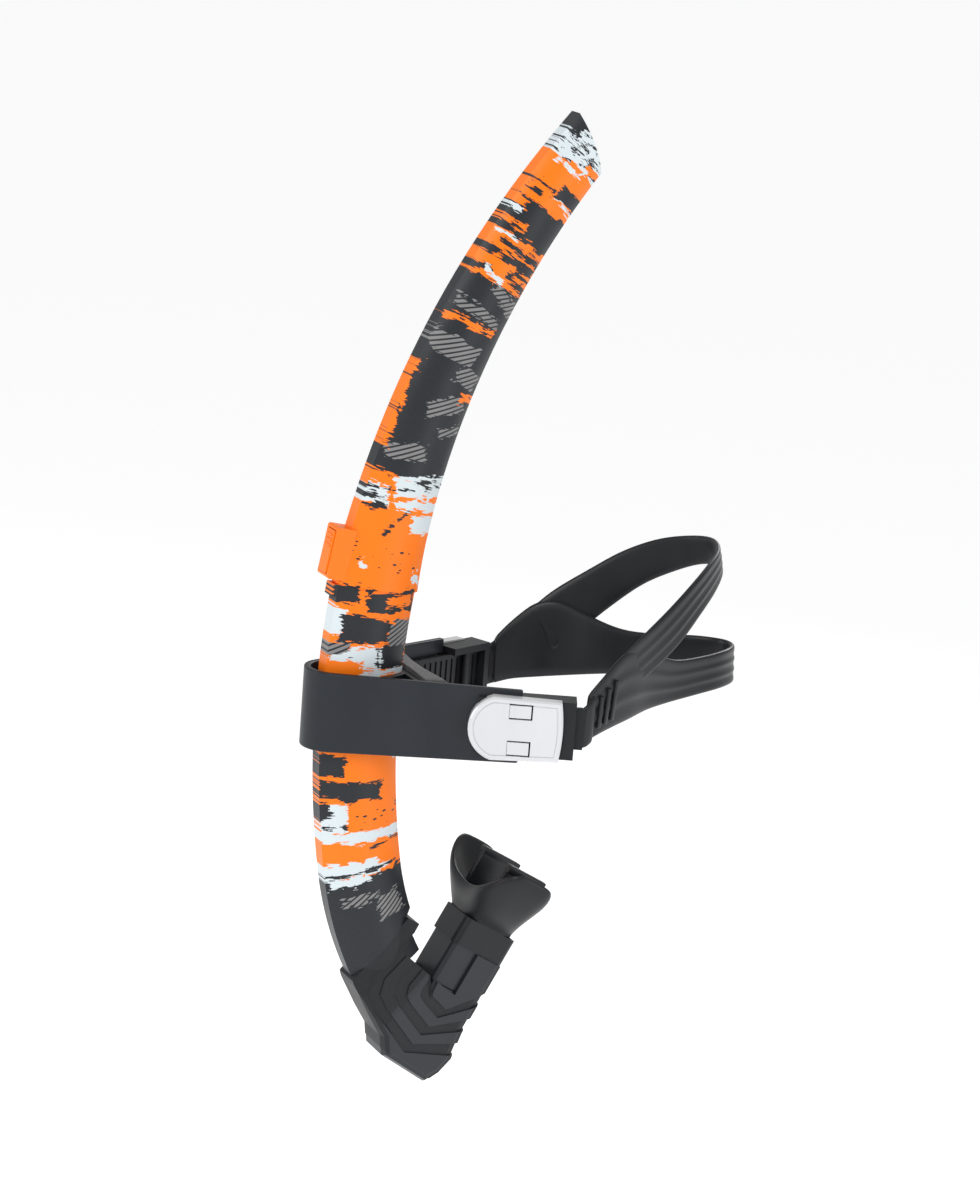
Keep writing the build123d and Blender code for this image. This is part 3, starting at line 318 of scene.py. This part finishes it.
# Painted marks from the elbow up, each over the ones before: middle along the tube and forward of its
# centreline, half sizes, all in millimetres, tilt in degrees (up towards the back), and the paint.
MARKS = [
    (-110, 0, 37, 30, 0, "dark"), (-70, 5, 3.6, 17, 3, "pale"), (-75, 8, 2.2, 9, 6, "pale"),
    (-71.5, 2, 0.5, 17, 3, "dark"), (-84, 4, 1.8, 9, 6, "hatch"), (-90, -9, 5, 6, 10, "hatch"),
    (-61, 0, 3.2, 22, -3, "orange"), (-66, -13, 3, 7, -4, "orange"), (-55, -2, 2.6, 22, -4, "pale"),
    (-46, 13, 6.5, 6, 0, "pale"), (-42, 18, 4, 3, 30, "dark"), (-49.5, 12, 1.0, 6, -5, "dark"),
    (-46, -6, 6, 13, -3, "specks"), (-33, 5, 4.2, 14, -5, "dark"), (-21.5, 14, 5.5, 6, -3, "dark"),
    (-27.5, 3, 0.6, 12, -3, "orange"), (-19, -17, 2, 1.5, 0, "pale"), (-60, -10, 0.4, 8, 6, "dark"),
    (28, 8, 3.6, 10, 5, "pale"), (22, 13, 3, 7, 5, "orange"), (30, 15, 3, 5, 10, "hatch"),
    (27, -2, 5.5, 6, 0, "pale"), (28, -12, 6.5, 7, 0, "dark"), (27, -3, 4.5, 0.8, 10, "dark"),
    (21, -8, 1.4, 12, 2, "pale"), (42, 17, 6, 4, 0, "pale"), (39, -13, 6, 7, -10, "hatch"),
    (40, 4, 6, 11, 0, "dark"), (47, 1, 1.6, 10, -10, "orange"), (54, 16, 3.8, 5, 10, "dark"),
    (53, -6, 4.6, 12, 5, "dark"), (53.5, -10, 2.2, 6.5, 6, "orange"), (78, 4, 3, 14, 0, "specks"),
    (69, 0, 3, 16, 0, "specks"), (88.5, 1.5, 0.6, 8, 55, "dark"), (66, -14.5, 3.5, 0.7, 30, "pale"),
    (64, -17, 4, 0.7, 30, "pale"), (68, 12, 1.6, 0.8, 30, "pale"), (98, 14, 4.5, 6, 8, "pale"),
    (97.5, -8, 2, 12, 5, "pale"), (89, -14, 3.6, 8, 4, "pale"), (155, 0, 47, 22, 0, "dark"),
    (106, -7, 4.8, 14, 14, "pale"), (105, -5, 0.5, 13, 16, "dark"), (109, -10, 0.5, 9, 16, "dark"),
    (101, 14, 0.9, 6, 8, "dark"), (97, 15, 0.8, 6, 8, "dark"), (93.5, 13, 0.7, 5, 4, "dark"),
    (119, 7, 3.6, 9, 12, "hatch"), (143, -3, 3.4, 9, 28, "hatch"), (133, -10, 2.6, 6, 20, "hatch"),
    (168, 4, 5, 11, -6, "hatch"), (158, -8, 4, 6, -10, "hatch"), (186, 2, 2.6, 12, -4, "hatch"),
    (138, 16.5, 19, 1.6, 0, "orange"), (150, -14, 1.6, 5, 12, "orange"), (180, 2, 1.6, 12, 3, "orange"),
    (196, -8, 3, 9, -16, "hatch"), (212, 0, 11, 20, 0, "orange"), (217.5, -3, 1.6, 14, -2, "dark"),
    (212.5, 1, 1.8, 15, 0, "dark"), (205, -8, 1.2, 7, -8, "dark"), (208.5, -9, 0.7, 7, -8, "dark"),
    (204, 10, 1.1, 5, 10, "dark"), (203, 4, 1.2, 5, -10, "pale"), (221, 8, 0.8, 5, 12, "pale"),
    (231, 0, 8.5, 20, 0, "dark"), (227, 9, 1.2, 6, 4, "orange"), (236, 12, 2, 4, 0, "orange"),
    (233, 12, 0.6, 3, 0, "pale"), (244.5, 5, 4.6, 11, 4, "orange"), (247.5, 8, 0.9, 7, 3, "dark"),
    (243, 10, 1.0, 4, 6, "dark"), (245, -9, 1.4, 8, -14, "pale"), (250, -9, 4.2, 9, -3, "dark"),
    (257.5, 1, 4.6, 18, -2, "orange"), (259.5, 0, 0.6, 9, -2, "pale"), (273, 0, 11, 18, 0, "chips"),
    (278, 11, 5, 5, -20, "dark"), (267, -2, 0.8, 8, -10, "dark"), (265.5, -9, 1.1, 6, 3, "orange"),
]


def print_mark():
    """One painted mark over a ground: a tilted box whose edges are torn by a given number of millimetres."""
    tree, net, entry, leave = group(
        "print_mark",
        [("Place", "NodeSocketVector", None), ("Middle", "NodeSocketVector", None),
         ("Half Size", "NodeSocketVector", None), ("Tilt", "NodeSocketFloat", 0.0),
         ("Torn", "NodeSocketFloat", 0.0), ("Ground", "NodeSocketColor", (1, 1, 1, 1)),
         ("Paint", "NodeSocketColor", (0, 0, 0, 1))],
        [("Colour", "NodeSocketColor")])
    # Each mark waits for the one under it, so that few values are alive at once in so long a chain.
    waiting = net.add("ShaderNodeVectorMath", operation="MULTIPLY_ADD")
    net.feed(waiting.inputs[0], entry.outputs["Ground"])
    waiting.inputs[1].default_value = (1e-9, 1e-9, 1e-9)
    net.feed(waiting.inputs[2], entry.outputs["Place"])
    away = net.add("ShaderNodeVectorMath", operation="SUBTRACT")
    net.feed(away.inputs[0], waiting.outputs[0])
    net.feed(away.inputs[1], entry.outputs["Middle"])
    turned = net.add("ShaderNodeVectorRotate", rotation_type="Z_AXIS")
    net.feed(turned.inputs["Vector"], away.outputs[0])
    net.feed(turned.inputs["Angle"], entry.outputs["Tilt"])
    size = net.add("ShaderNodeVectorMath", operation="ABSOLUTE")
    net.feed(size.inputs[0], turned.outputs[0])
    past = net.add("ShaderNodeVectorMath", operation="SUBTRACT")
    net.feed(past.inputs[0], size.outputs[0])
    net.feed(past.inputs[1], entry.outputs["Half Size"])
    over = net.parts(past.outputs[0])
    worst = net.math("ADD", net.math("MAXIMUM", over[0], over[1]), entry.outputs["Torn"])
    net.feed(leave.inputs["Colour"], net.blend(net.math("LESS_THAN", worst, 0.0), entry.outputs["Ground"],
                                               entry.outputs["Paint"]))
    return tree


def tube_print():
    made, net, shader = material("tube_print", ORANGE, 0.36, coat=0.04, coat_roughness=0.3, specular=0.2)
    x, y, z = net.parts(net.place())
    back = net.math("SUBTRACT", ARC_X, x)
    rise = net.math("SUBTRACT", z, ARC_Z)
    angle = net.math("ARCTAN2", rise, back)
    squares = net.math("ADD", net.math("MULTIPLY", back, back), net.math("MULTIPLY", rise, rise))
    reach = net.math("SQRT", squares)
    along = net.math("MULTIPLY", angle, ARC_RADIUS * 1000)
    depth = net.math("MULTIPLY", net.math("SUBTRACT", reach, ARC_RADIUS), 1000)
    side = net.math("MULTIPLY", y, 1000)
    flat = net.vector(along, depth, 0.0)

    # Edges torn in short strokes across the tube and in blocks of a few millimetres.
    streak = net.noise(net.mapped(flat, (1.1, 0.13, 1), (0, 0, math.radians(6))), 1.0, 2.0, 0.6)
    block = net.cells(net.mapped(flat, (0.30, 0.16, 1), (0, 0, math.radians(24))), 1.0)
    torn = net.math("MULTIPLY", net.math("SUBTRACT", streak, 0.5), 7.0)
    block_share = net.math("SUBTRACT", net.parts(block.outputs["Color"])[0], 0.5)
    torn = net.math("MULTIPLY_ADD", block_share, 1.8, torn)

    # Grey diagonal hatching, and specks thrown on orange and on the pale tip.
    across_lines = net.math("ADD", net.math("MULTIPLY", along, 2.6), net.math("MULTIPLY", depth, 1.7))
    line = net.math("SINE", across_lines)
    hatch = net.blend(net.spread(line, -0.5, -0.2), (*CHARCOAL, 1), (*GREY, 1))
    speck = net.cells(net.mapped(flat, (0.62, 0.30, 1), (0, 0, math.radians(12))), 1.0, "MANHATTAN")
    thrown = net.math("LESS_THAN", speck.outputs["Distance"],
                      net.math("MULTIPLY", net.parts(speck.outputs["Color"])[2], 0.42))
    specks = net.blend(thrown, (*ORANGE, 1), (*CHARCOAL, 1))
    smear = net.noise(net.mapped(flat, (0.7, 0.16, 1), (0, 0, math.radians(-14))), 1.0, 3.0, 0.65)
    chips = net.blend(net.math("GREATER_THAN", smear, 0.56), (*PALE, 1), (*CHARCOAL, 1))
    paints = {"dark": (*CHARCOAL, 1), "pale": (*PALE, 1), "orange": (*ORANGE, 1), "hatch": hatch,
              "specks": specks, "chips": chips}

    colour = (*ORANGE, 1)
    for at, forward, half_along, half_forward, tilt, paint in MARKS:
        mark = net.add("ShaderNodeGroup", node_tree=MARK)
        for label, value in (("Place", flat), ("Middle", (at, forward, 0)),
                             ("Half Size", (half_along, half_forward, 0)), ("Tilt", -math.radians(tilt)),
                             ("Torn", torn), ("Ground", colour), ("Paint", paints[paint])):
            net.feed(mark.inputs[label], value)
        colour = mark.outputs["Colour"]

    # Inside the bore and on the rim the plastic is bare.
    half_depth = net.spread(along, *TAPER_RUN, *TAPER_HALF_DEPTH)
    half_width = net.spread(along, *TAPER_RUN, *TAPER_HALF_WIDTH)
    share = net.math("DIVIDE", depth, half_depth)
    narrowing = net.math("MULTIPLY_ADD", net.math("MULTIPLY", share, share), -0.85, 1.0)
    flank = net.math("MULTIPLY", half_width, narrowing)
    within_side = net.math("LESS_THAN", net.math("ABSOLUTE", side), net.math("SUBTRACT", flank, SKIN))
    within_depth = net.math("LESS_THAN", net.math("ABSOLUTE", depth), net.math("SUBTRACT", half_depth, SKIN))
    bare = net.math("MULTIPLY", net.math("MULTIPLY", within_side, within_depth),
                    net.math("GREATER_THAN", along, BARE_FROM))
    colour = net.blend(bare, colour, (0.03, 0.03, 0.033, 1))

    surface = moulded(net, 1500.0, 0.25, 0.36, 0.12)
    wear = net.spread(surface.outputs["Height"], 0.0, 0.25, 0.0, 0.02)
    dressed(net, shader, surface, net.blend(wear, colour, (0.7, 0.7, 0.7, 1)), 0.12, 0.0002)
    return made


def sleeve_rubber():
    """Two close greys: the sunk chevrons are a darker grey as painted shade in their recesses, the raised
    ones a lighter grey; both have the same roughness.
    """
    made, net, shader = material("sleeve_rubber", (0.03, 0.03, 0.03), 0.5, sheen=0.05, specular=0.28)
    side = net.math("ABSOLUTE", net.math("MULTIPLY", net.parts(net.place())[1], 1000))
    # painted shade: the sunk chevrons get the darker grey and the raised ones the lighter grey
    raised_lit_share = net.spread(side, 12.75, 12.95)
    colour = net.blend(raised_lit_share, (0.010, 0.011, 0.013, 1), (0.026, 0.029, 0.033, 1))
    surface = moulded(net, 2600.0, 0.8, 0.52, 0.14)
    worn = net.spread(surface.outputs["Height"], 0.2, 0.6, 0.0, 0.12)
    dressed(net, shader, surface, net.blend(worn, colour, (0.08, 0.08, 0.085, 1)), 0.35, 0.0003)
    return made


MOULDED = moulded_surface()
MARK = print_mark()
PRINT = tube_print()
SLEEVE = sleeve_rubber()
BRACKET = surfaced(material("bracket_satin", (0.03,) * 3, 0.38, specular=0.28),
                   (0.014, 0.017, 0.022), (0.022, 0.026, 0.032), 0.38, 2200.0, 0.5, 0.12)
DARK = surfaced(material("frame_plastic", (0.02,) * 3, 0.42, specular=0.28),
                (0.010, 0.011, 0.013), (0.018, 0.020, 0.023), 0.42, 1800.0, 0.5, 0.12)
HARD = surfaced(material("elbow_plastic", (0.05,) * 3, 0.32, specular=0.35),
                (0.014, 0.016, 0.020), (0.024, 0.027, 0.033), 0.34, 1900.0, 0.3, 0.14)
WHITE = surfaced(material("cover_white", (0.85,) * 3, 0.22, coat=0.6, coat_roughness=0.06),
                 (0.60, 0.61, 0.63), (0.68, 0.69, 0.71), 0.24, 900.0, 0.1, 0.08, strength=0.06)
SILICONE = surfaced(material("silicone_black", (0.02,) * 3, 0.42, sheen=0.06, specular=0.3),
                    (0.008, 0.009, 0.011), (0.015, 0.017, 0.019), 0.38, 1600.0, 0.4, 0.2, strength=0.18)
FOAM = surfaced(material("pad_rubber", (0.03,) * 3, 0.7, sheen=0.35), (0.018, 0.018, 0.020),
                (0.034, 0.034, 0.036), 0.68, 3200.0, 1.0, 0.1, strength=0.5)
STEEL = surfaced(material("spring_steel", (0.6,) * 3, 0.25, metallic=1.0), (0.55, 0.55, 0.57),
                 (0.66, 0.66, 0.68), 0.24, 1200.0, 0.4, 0.15)

FINISHES = {
    "upper_tube": PRINT, "lower_tube": PRINT, "latch_button": PRINT, "latch_spring": STEEL,
    "tube_seal": SILICONE, "elbow_body": HARD, "elbow_sleeve": SLEEVE, "purge_seat": HARD,
    "purge_disc": SILICONE, "purge_cover": HARD, "mouthpiece_tube": HARD, "leg_seal": SILICONE,
    "neck_band": SILICONE, "tube_saddle": DARK, "head_bracket": BRACKET,
}
for side in ("left", "right"):
    FINISHES["buckle_base_" + side] = DARK
    FINISHES["buckle_cover_" + side] = WHITE
    FINISHES["buckle_pin_" + side] = DARK
    FINISHES["upper_finger_" + side] = WHITE
    FINISHES["lower_finger_" + side] = WHITE
    FINISHES["strap_end_" + side] = SILICONE


def finish_node(name, finish):
    mesh = nodes[name].data
    if not mesh.materials:
        mesh.materials.append(finish)
    for index in range(len(mesh.materials)):
        mesh.materials[index] = finish


# ---- pieces with eased edges, made from a joined copy of the plain solid

def eased(name, body, width, finish, segments=3):
    bm = bmesh.new()
    bm.from_mesh(nodes[name].data)
    bmesh.ops.remove_doubles(bm, verts=bm.verts, dist=0.00002)
    bmesh.ops.dissolve_limit(bm, angle_limit=math.radians(1.0), verts=bm.verts, edges=bm.edges)
    sharp = [e for e in bm.edges if len(e.link_faces) == 2 and e.calc_face_angle(0) > math.radians(35)]
    bmesh.ops.bevel(bm, geom=sharp, offset=width, segments=segments, affect="EDGES", profile=0.5, material=-1,
                    clamp_overlap=True, loop_slide=True)
    piece = solid_object(name + "_eased", bm)
    piece.data.materials.append(finish)
    weighted = piece.modifiers.new("normals", "WEIGHTED_NORMAL")
    weighted.keep_sharp = True
    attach(piece, body)
    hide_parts(name)
    return piece


# ---- a band swept along a path: the section is extruded ring by ring

def swept(name, profile, stations, mirrored=False):
    """profile: points of the section, as height from 0 to 1 and metres out; stations: each ring's place."""
    bm = bmesh.new()
    rings = []
    for station in stations:
        if not rings:
            ring = [bm.verts.new(section_point(station, p)) for p in profile]
            for a, b in zip(ring, ring[1:] + ring[:1]):
                bm.edges.new((a, b))
        else:
            edges = [bm.edges.get((a, b)) for a, b in zip(rings[-1], rings[-1][1:] + rings[-1][:1])]
            made = bmesh.ops.extrude_edge_only(bm, edges=edges)["geom"]
            fresh = [v for v in made if isinstance(v, bmesh.types.BMVert)]
            ring = []
            for old in rings[-1]:
                near = min(fresh, key=lambda v: (v.co - old.co).length_squared)
                fresh.remove(near)
                ring.append(near)
            for vert, point in zip(ring, profile):
                vert.co = section_point(station, point)
        rings.append(ring)
    bmesh.ops.contextual_create(bm, geom=rings[0])
    if not mirrored:
        bmesh.ops.contextual_create(bm, geom=rings[-1])
    else:
        bmesh.ops.mirror(bm, geom=bm.verts[:] + bm.edges[:] + bm.faces[:], axis="Y", merge_dist=0.0002)
        bmesh.ops.remove_doubles(bm, verts=bm.verts, dist=0.0003)
    bmesh.ops.recalc_face_normals(bm, faces=bm.faces)
    piece = solid_object(name, bm)
    rounded(piece)
    return piece


def section_point(station, point):
    """A section's point in place: up the band, and out from its middle surface."""
    share, out = point
    base, top, outward = station
    return base.lerp(top, share) + outward * out


# A flat band with four soft ridges on its outer face, and a plain one: height from 0 to 1, and metres out.
INNER_FACE = [(0.98, -0.0012), (0.75, -0.0013), (0.5, -0.0013), (0.25, -0.0013), (0.02, -0.0012)]
BAND_PROFILE = [(0.00, 0.0), (0.02, 0.0011), (0.10, 0.0013), (0.22, 0.0009), (0.28, 0.0009),
                (0.36, 0.0016), (0.44, 0.0009), (0.56, 0.0009), (0.64, 0.0016), (0.72, 0.0009),
                (0.78, 0.0009), (0.90, 0.0013), (0.98, 0.0011), (1.00, 0.0)] + INNER_FACE
PLAIN_PROFILE = [(0.00, 0.0), (0.02, 0.0011), (0.12, 0.0013), (0.3, 0.0013), (0.5, 0.0013), (0.7, 0.0013),
                 (0.88, 0.0013), (0.98, 0.0011), (1.00, 0.0)] + INNER_FACE


def curve_through(points, steps):
    """Places along a smooth line through points, by four neighbours at a time.

    A line that ends on the middle plane runs straight across it."""
    line = []
    last = len(points) - 1
    beyond = points[-2].copy()
    if abs(points[-1].y) < 0.001:
        beyond.y = -beyond.y
    chain = points + [beyond]
    for k in range(last):
        p0, p1, p2, p3 = (chain[max(0, i)] for i in (k - 1, k, k + 1, k + 2))
        for j in range(steps):
            t = j / steps
            line.append(0.5 * ((2 * p1) + (p2 - p0) * t + (2 * p0 - 5 * p1 + 4 * p2 - p3) * t * t
                               + (3 * p1 - p0 - 3 * p2 + p3) * t ** 3))
    line.append(Vector(points[-1]))
    return line


def band_stations(table, steps=5, buried=0):
    """Table rows: bottom edge x, y, z and top edge x, y, z, in millimetres, for the left half.

    The first rings, as many as buried, are thin, so that the band grows out of another one."""
    line = curve_through([Vector(row[:3]) for row in table], steps)
    tops = curve_through([Vector(row[3:]) for row in table], steps)
    stations = []
    for k, (low, high) in enumerate(zip(line, tops)):
        ahead = (line[min(k + 1, len(line) - 1)] + tops[min(k + 1, len(line) - 1)]) / 2
        behind = (line[max(k - 1, 0)] + tops[max(k - 1, 0)]) / 2
        run = (ahead - behind).normalized()
        if k == len(line) - 1:
            run = Vector((0, 1, 0))
        up = (high - low).normalized()
        outward = up.cross(run).normalized() * -1
        if outward.x < outward.y:
            outward = -outward
        if k < buried:
            outward = outward * (0.35 + 0.65 * k / buried)
        stations.append((low / 1000, high / 1000, outward))
    return stations


LOWER_BAND = [
    (58.0, -49.5, -7.6, 58.0, -50.5, 14.5),
    (66.0, -46.5, -5.0, 66.0, -49.5, 23.0),
    (76.0, -41.5, -3.2, 76.0, -46.5, 31.5),
    (86.0, -36.5, -1.6, 86.0, -42.0, 33.0),
    (98.0, -30.0, 0.4, 97.0, -35.5, 28.0),
    (112.0, -24.5, 1.8, 112.0, -27.5, 22.5),
    (128.0, -19.5, 3.2, 128.0, -20.5, 21.5),
    (142.0, -14.0, 4.0, 142.0, -14.5, 22.0),
    (152.0, -7.0, 4.3, 151.0, -7.2, 22.2),
    (155.0, 0.0, 4.4, 153.5, 0.0, 22.4),
]
UPPER_BAND = [
    (82.0, -38.5, 10.0, 74.0, -46.5, 29.5),
    (94.0, -36.8, 19.0, 84.0, -45.0, 38.0),
    (108.0, -34.6, 31.0, 98.0, -40.5, 48.0),
    (121.0, -28.5, 43.0, 112.0, -34.5, 58.0),
    (132.0, -20.0, 51.0, 125.0, -25.5, 65.5),
    (140.0, -10.5, 56.5, 135.5, -14.0, 69.6),
    (143.5, 0.0, 58.5, 139.5, 0.0, 71.5),
]
ROOT = [
    (55.0, -52.2, -9.3, 55.0, -52.2, 9.3),
    (57.5, -52.4, -8.6, 57.5, -52.6, 11.5),
    (60.5, -50.6, -7.4, 60.5, -51.0, 15.0),
]


# Each grip bar's distance back and its height, in millimetres.
GRIP_BARS = [(64.5, 15.0), (68.5, 17.0), (72.5, 19.0)]


def head_strap():
    lower = swept("strap_lower", BAND_PROFILE, band_stations(LOWER_BAND), mirrored=True)
    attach(lower, "strap_back")
    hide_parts("strap_lower_band")
    upper = swept("strap_upper", BAND_PROFILE, band_stations(UPPER_BAND, buried=8), mirrored=True)
    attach(upper, "strap_back")
    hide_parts("strap_upper_band")
    for piece in (lower, upper):
        piece.data.materials.append(SILICONE)
    for side, sign in (("left", 1), ("right", -1)):
        root = swept("strap_root_" + side, PLAIN_PROFILE, band_stations(ROOT, 4))
        if sign < 0:
            root.data.transform(Matrix.Scale(-1, 4, (0, 1, 0)))
            root.data.flip_normals()
        root.data.materials.append(SILICONE)
        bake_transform(root)
        blocks = strap_blocks(sign)
        blocks.name = "strap_blocks_" + side
        blocks.data.materials.append(SILICONE)
        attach(blocks, "strap_back")


def strap_blocks(sign):
    """Raised grip bars on the root's outer face."""
    bm = bmesh.new()
    stations = band_stations(LOWER_BAND)
    for x, height in GRIP_BARS:
        base, top, outward = min(stations, key=lambda s: abs(s[0].x - x / 1000))
        made = bmesh.ops.create_cube(bm, size=1.0)["verts"]
        up = (top - base).normalized()
        run = up.cross(outward).normalized()
        turn = Matrix((run, outward, up)).transposed().to_4x4()
        size = Matrix.Diagonal((0.0022, 0.0016, height / 1000, 1))
        middle = base.lerp(top, 0.45) + outward * 0.0016
        bmesh.ops.transform(bm, matrix=Matrix.Translation(middle) @ turn @ size, verts=made)
    bmesh.ops.bevel(bm, geom=bm.edges[:], offset=0.0005, segments=2, affect="EDGES", profile=0.5, material=-1)
    if sign < 0:
        bmesh.ops.scale(bm, vec=(1, -1, 1), verts=bm.verts)
        bmesh.ops.reverse_faces(bm, faces=bm.faces)
    return solid_object("strap_blocks", bm)


# ---- mouthpiece

def leg_point(along, up, across):
    return LEG_ORIGIN + LEG_ALONG * (along / 1000) + LEG_UP * (up / 1000) + Vector((0, across / 1000, 0))


RING_POINTS = 48
FLANGE_HALF_WIDTH = 33.0


def mouth_ring(along, middle, half_up, half_across, power, sweep, notch):
    """One ring of the mouthpiece: its place on the leg, half sizes, squareness, sweep and waist."""
    points = []
    for k in range(RING_POINTS):
        turn = 2 * math.pi * k / RING_POINTS
        c, s = math.cos(turn), math.sin(turn)
        up = half_up * math.copysign(abs(c) ** (2 / power), c)
        across = half_across * math.copysign(abs(s) ** (2 / power), s)
        middle_share = math.exp(-(across / 9.0) ** 2)
        up *= 1 - notch * middle_share
        rise = sweep * (abs(across) / FLANGE_HALF_WIDTH) ** 2 * FLANGE_HALF_WIDTH
        points.append(leg_point(along + rise, middle + up, across))
    return points


MOUTH_RINGS = [
    (12.0, 7.3, 10.4, 9.2, 4.0, 0.0, 0.0),
    (3.0, 7.3, 11.3, 9.3, 4.5, 0.0, 0.0),
    (2.2, 7.3, 13.5, 11.4, 4.5, 0.0, 0.0),
    (8.0, 7.3, 13.5, 11.4, 4.5, 0.0, 0.0),
    (14.0, 7.3, 13.5, 11.4, 4.2, 0.0, 0.0),
    (15.5, 7.8, 13.7, 13.0, 3.6, 0.02, 0.0),
    (17.5, 9.0, 13.2, 18.0, 3.2, 0.12, 0.02),
    (19.5, 10.2, 13.0, 24.0, 3.2, 0.30, 0.05),
    (21.5, 11.0, 13.8, 29.0, 3.6, 0.46, 0.10),
    (23.6, 11.5, 14.8, 32.2, 4.2, 0.52, 0.18),
    (25.2, 11.6, 15.3, 33.0, 4.4, 0.55, 0.22),
    (26.8, 11.6, 15.1, 32.8, 4.4, 0.58, 0.22),
    (27.4, 11.5, 14.0, 31.4, 4.2, 0.58, 0.20),
    (26.6, 11.3, 12.4, 29.0, 3.8, 0.54, 0.14),
    (25.4, 11.2, 10.4, 24.0, 3.2, 0.46, 0.06),
    (24.6, 11.0, 8.0, 16.0, 2.8, 0.20, 0.0),
    (24.0, 10.9, 6.4, 10.8, 2.8, 0.0, 0.0),
    (20.0, 9.8, 6.6, 9.6, 3.0, 0.0, 0.0),
    (13.0, 7.6, 9.6, 8.2, 4.0, 0.0, 0.0),
]


def mouthpiece():
    bm = bmesh.new()
    first = None
    ring = None
    for settings in MOUTH_RINGS:
        points = mouth_ring(*settings)
        if ring is None:
            ring = bmesh.ops.create_circle(bm, segments=len(points), radius=0.01)["verts"]
            first = ring
        else:
            edges = [bm.edges.get((a, b)) for a, b in zip(ring, ring[1:] + ring[:1])]
            partner = {}
            made = bmesh.ops.extrude_edge_only(bm, edges=edges)["geom"]
            fresh = {v for v in made if isinstance(v, bmesh.types.BMVert)}
            for old in ring:
                for edge in old.link_edges:
                    other = edge.other_vert(old)
                    if other in fresh:
                        partner[old] = other
            ring = [partner[old] for old in ring]
        for vert, point in zip(ring, points):
            vert.co = point
    loops = [bm.edges.get((a, b)) for a, b in zip(ring, ring[1:] + ring[:1])]
    loops += [bm.edges.get((a, b)) for a, b in zip(first, first[1:] + first[:1])]
    bmesh.ops.bridge_loops(bm, edges=loops)
    bmesh.ops.recalc_face_normals(bm, faces=bm.faces)
    piece = solid_object("mouthpiece_soft", bm)
    rounded(piece)
    piece.data.materials.append(SILICONE)
    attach(piece, "tube")
    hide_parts("mouthpiece")
    for side in (1, -1):
        tab = bite_tab(side)
        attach(tab, "tube")


def bite_tab(side):
    """A tab with a thick lug at its end and two soft ribs, held between the teeth."""
    bm = bmesh.new()
    blocks = [((34.0, 7.5, 13.0), (20.0, 21.0, 2.8)), ((43.5, 7.5, 14.0), (3.6, 21.0, 5.0)),
              ((35.0, 3.5, 14.6), (12.0, 2.2, 1.6)), ((35.0, 11.5, 14.6), (12.0, 2.2, 1.6))]
    for (along, up, across), (length, height, thick) in blocks:
        made = bmesh.ops.create_cube(bm, size=1.0)["verts"]
        turn = Matrix((LEG_ALONG, LEG_UP, (0, 1, 0))).transposed().to_4x4()
        size = Matrix.Diagonal((length / 1000, height / 1000, thick / 1000, 1))
        place = Matrix.Translation(leg_point(along, up, across * side))
        bmesh.ops.transform(bm, matrix=place @ turn @ size, verts=made)
    bmesh.ops.bevel(bm, geom=bm.edges[:], offset=0.0007, segments=3, affect="EDGES", profile=0.5, material=-1)
    bmesh.ops.recalc_face_normals(bm, faces=bm.faces)
    piece = solid_object("bite_tab_" + ("right" if side > 0 else "left"), bm)
    piece.data.materials.append(SILICONE)
    return piece


# ---- forehead pad

# In metres: the pad's thickness in the middle, how far its sides curve back, its crown and its rounded edge.
PAD_THICK, PAD_HOLLOW, PAD_CROWN, PAD_EDGE = 0.0075, 0.0052, 0.0009, 0.0012


def forehead_pad():
    """A soft crowned pad with a waisted edge, hollowed a little to sit on the forehead."""
    low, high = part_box("forehead_pad")
    bm = bmesh.new()
    bmesh.ops.create_cube(bm, size=1.0)
    bmesh.ops.subdivide_edges(bm, edges=bm.edges[:], cuts=11, use_grid_fill=True)
    half_y, half_z = high.y, high.z
    for vert in bm.verts:
        u, v, w = vert.co.y * 2, vert.co.z * 2, vert.co.x + 0.5
        y = u * (half_y - 0.0035 * (1 - w)) * (1 - 0.05 * v * v)
        z = v * half_z * (1 - 0.07 * u * u)
        hollow = PAD_HOLLOW * (y / half_y) ** 2
        crown = PAD_CROWN * (1 - u * u) * (1 - v * v)
        edge = PAD_EDGE * (u ** 6 + v ** 6)
        x = low.x + (PAD_THICK + hollow + crown - edge) * w
        vert.co = Vector((x, y, z))
    bmesh.ops.recalc_face_normals(bm, faces=bm.faces)
    piece = solid_object("forehead_cushion", bm)
    rounded(piece)
    piece.data.materials.append(FOAM)
    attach(piece, "bracket")
    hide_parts("forehead_pad")


camera()
studio()
for node_name, node_finish in FINISHES.items():
    finish_node(node_name, node_finish)
head_strap()
mouthpiece()
forehead_pad()
eased("head_bracket", "bracket", 0.0007, BRACKET)
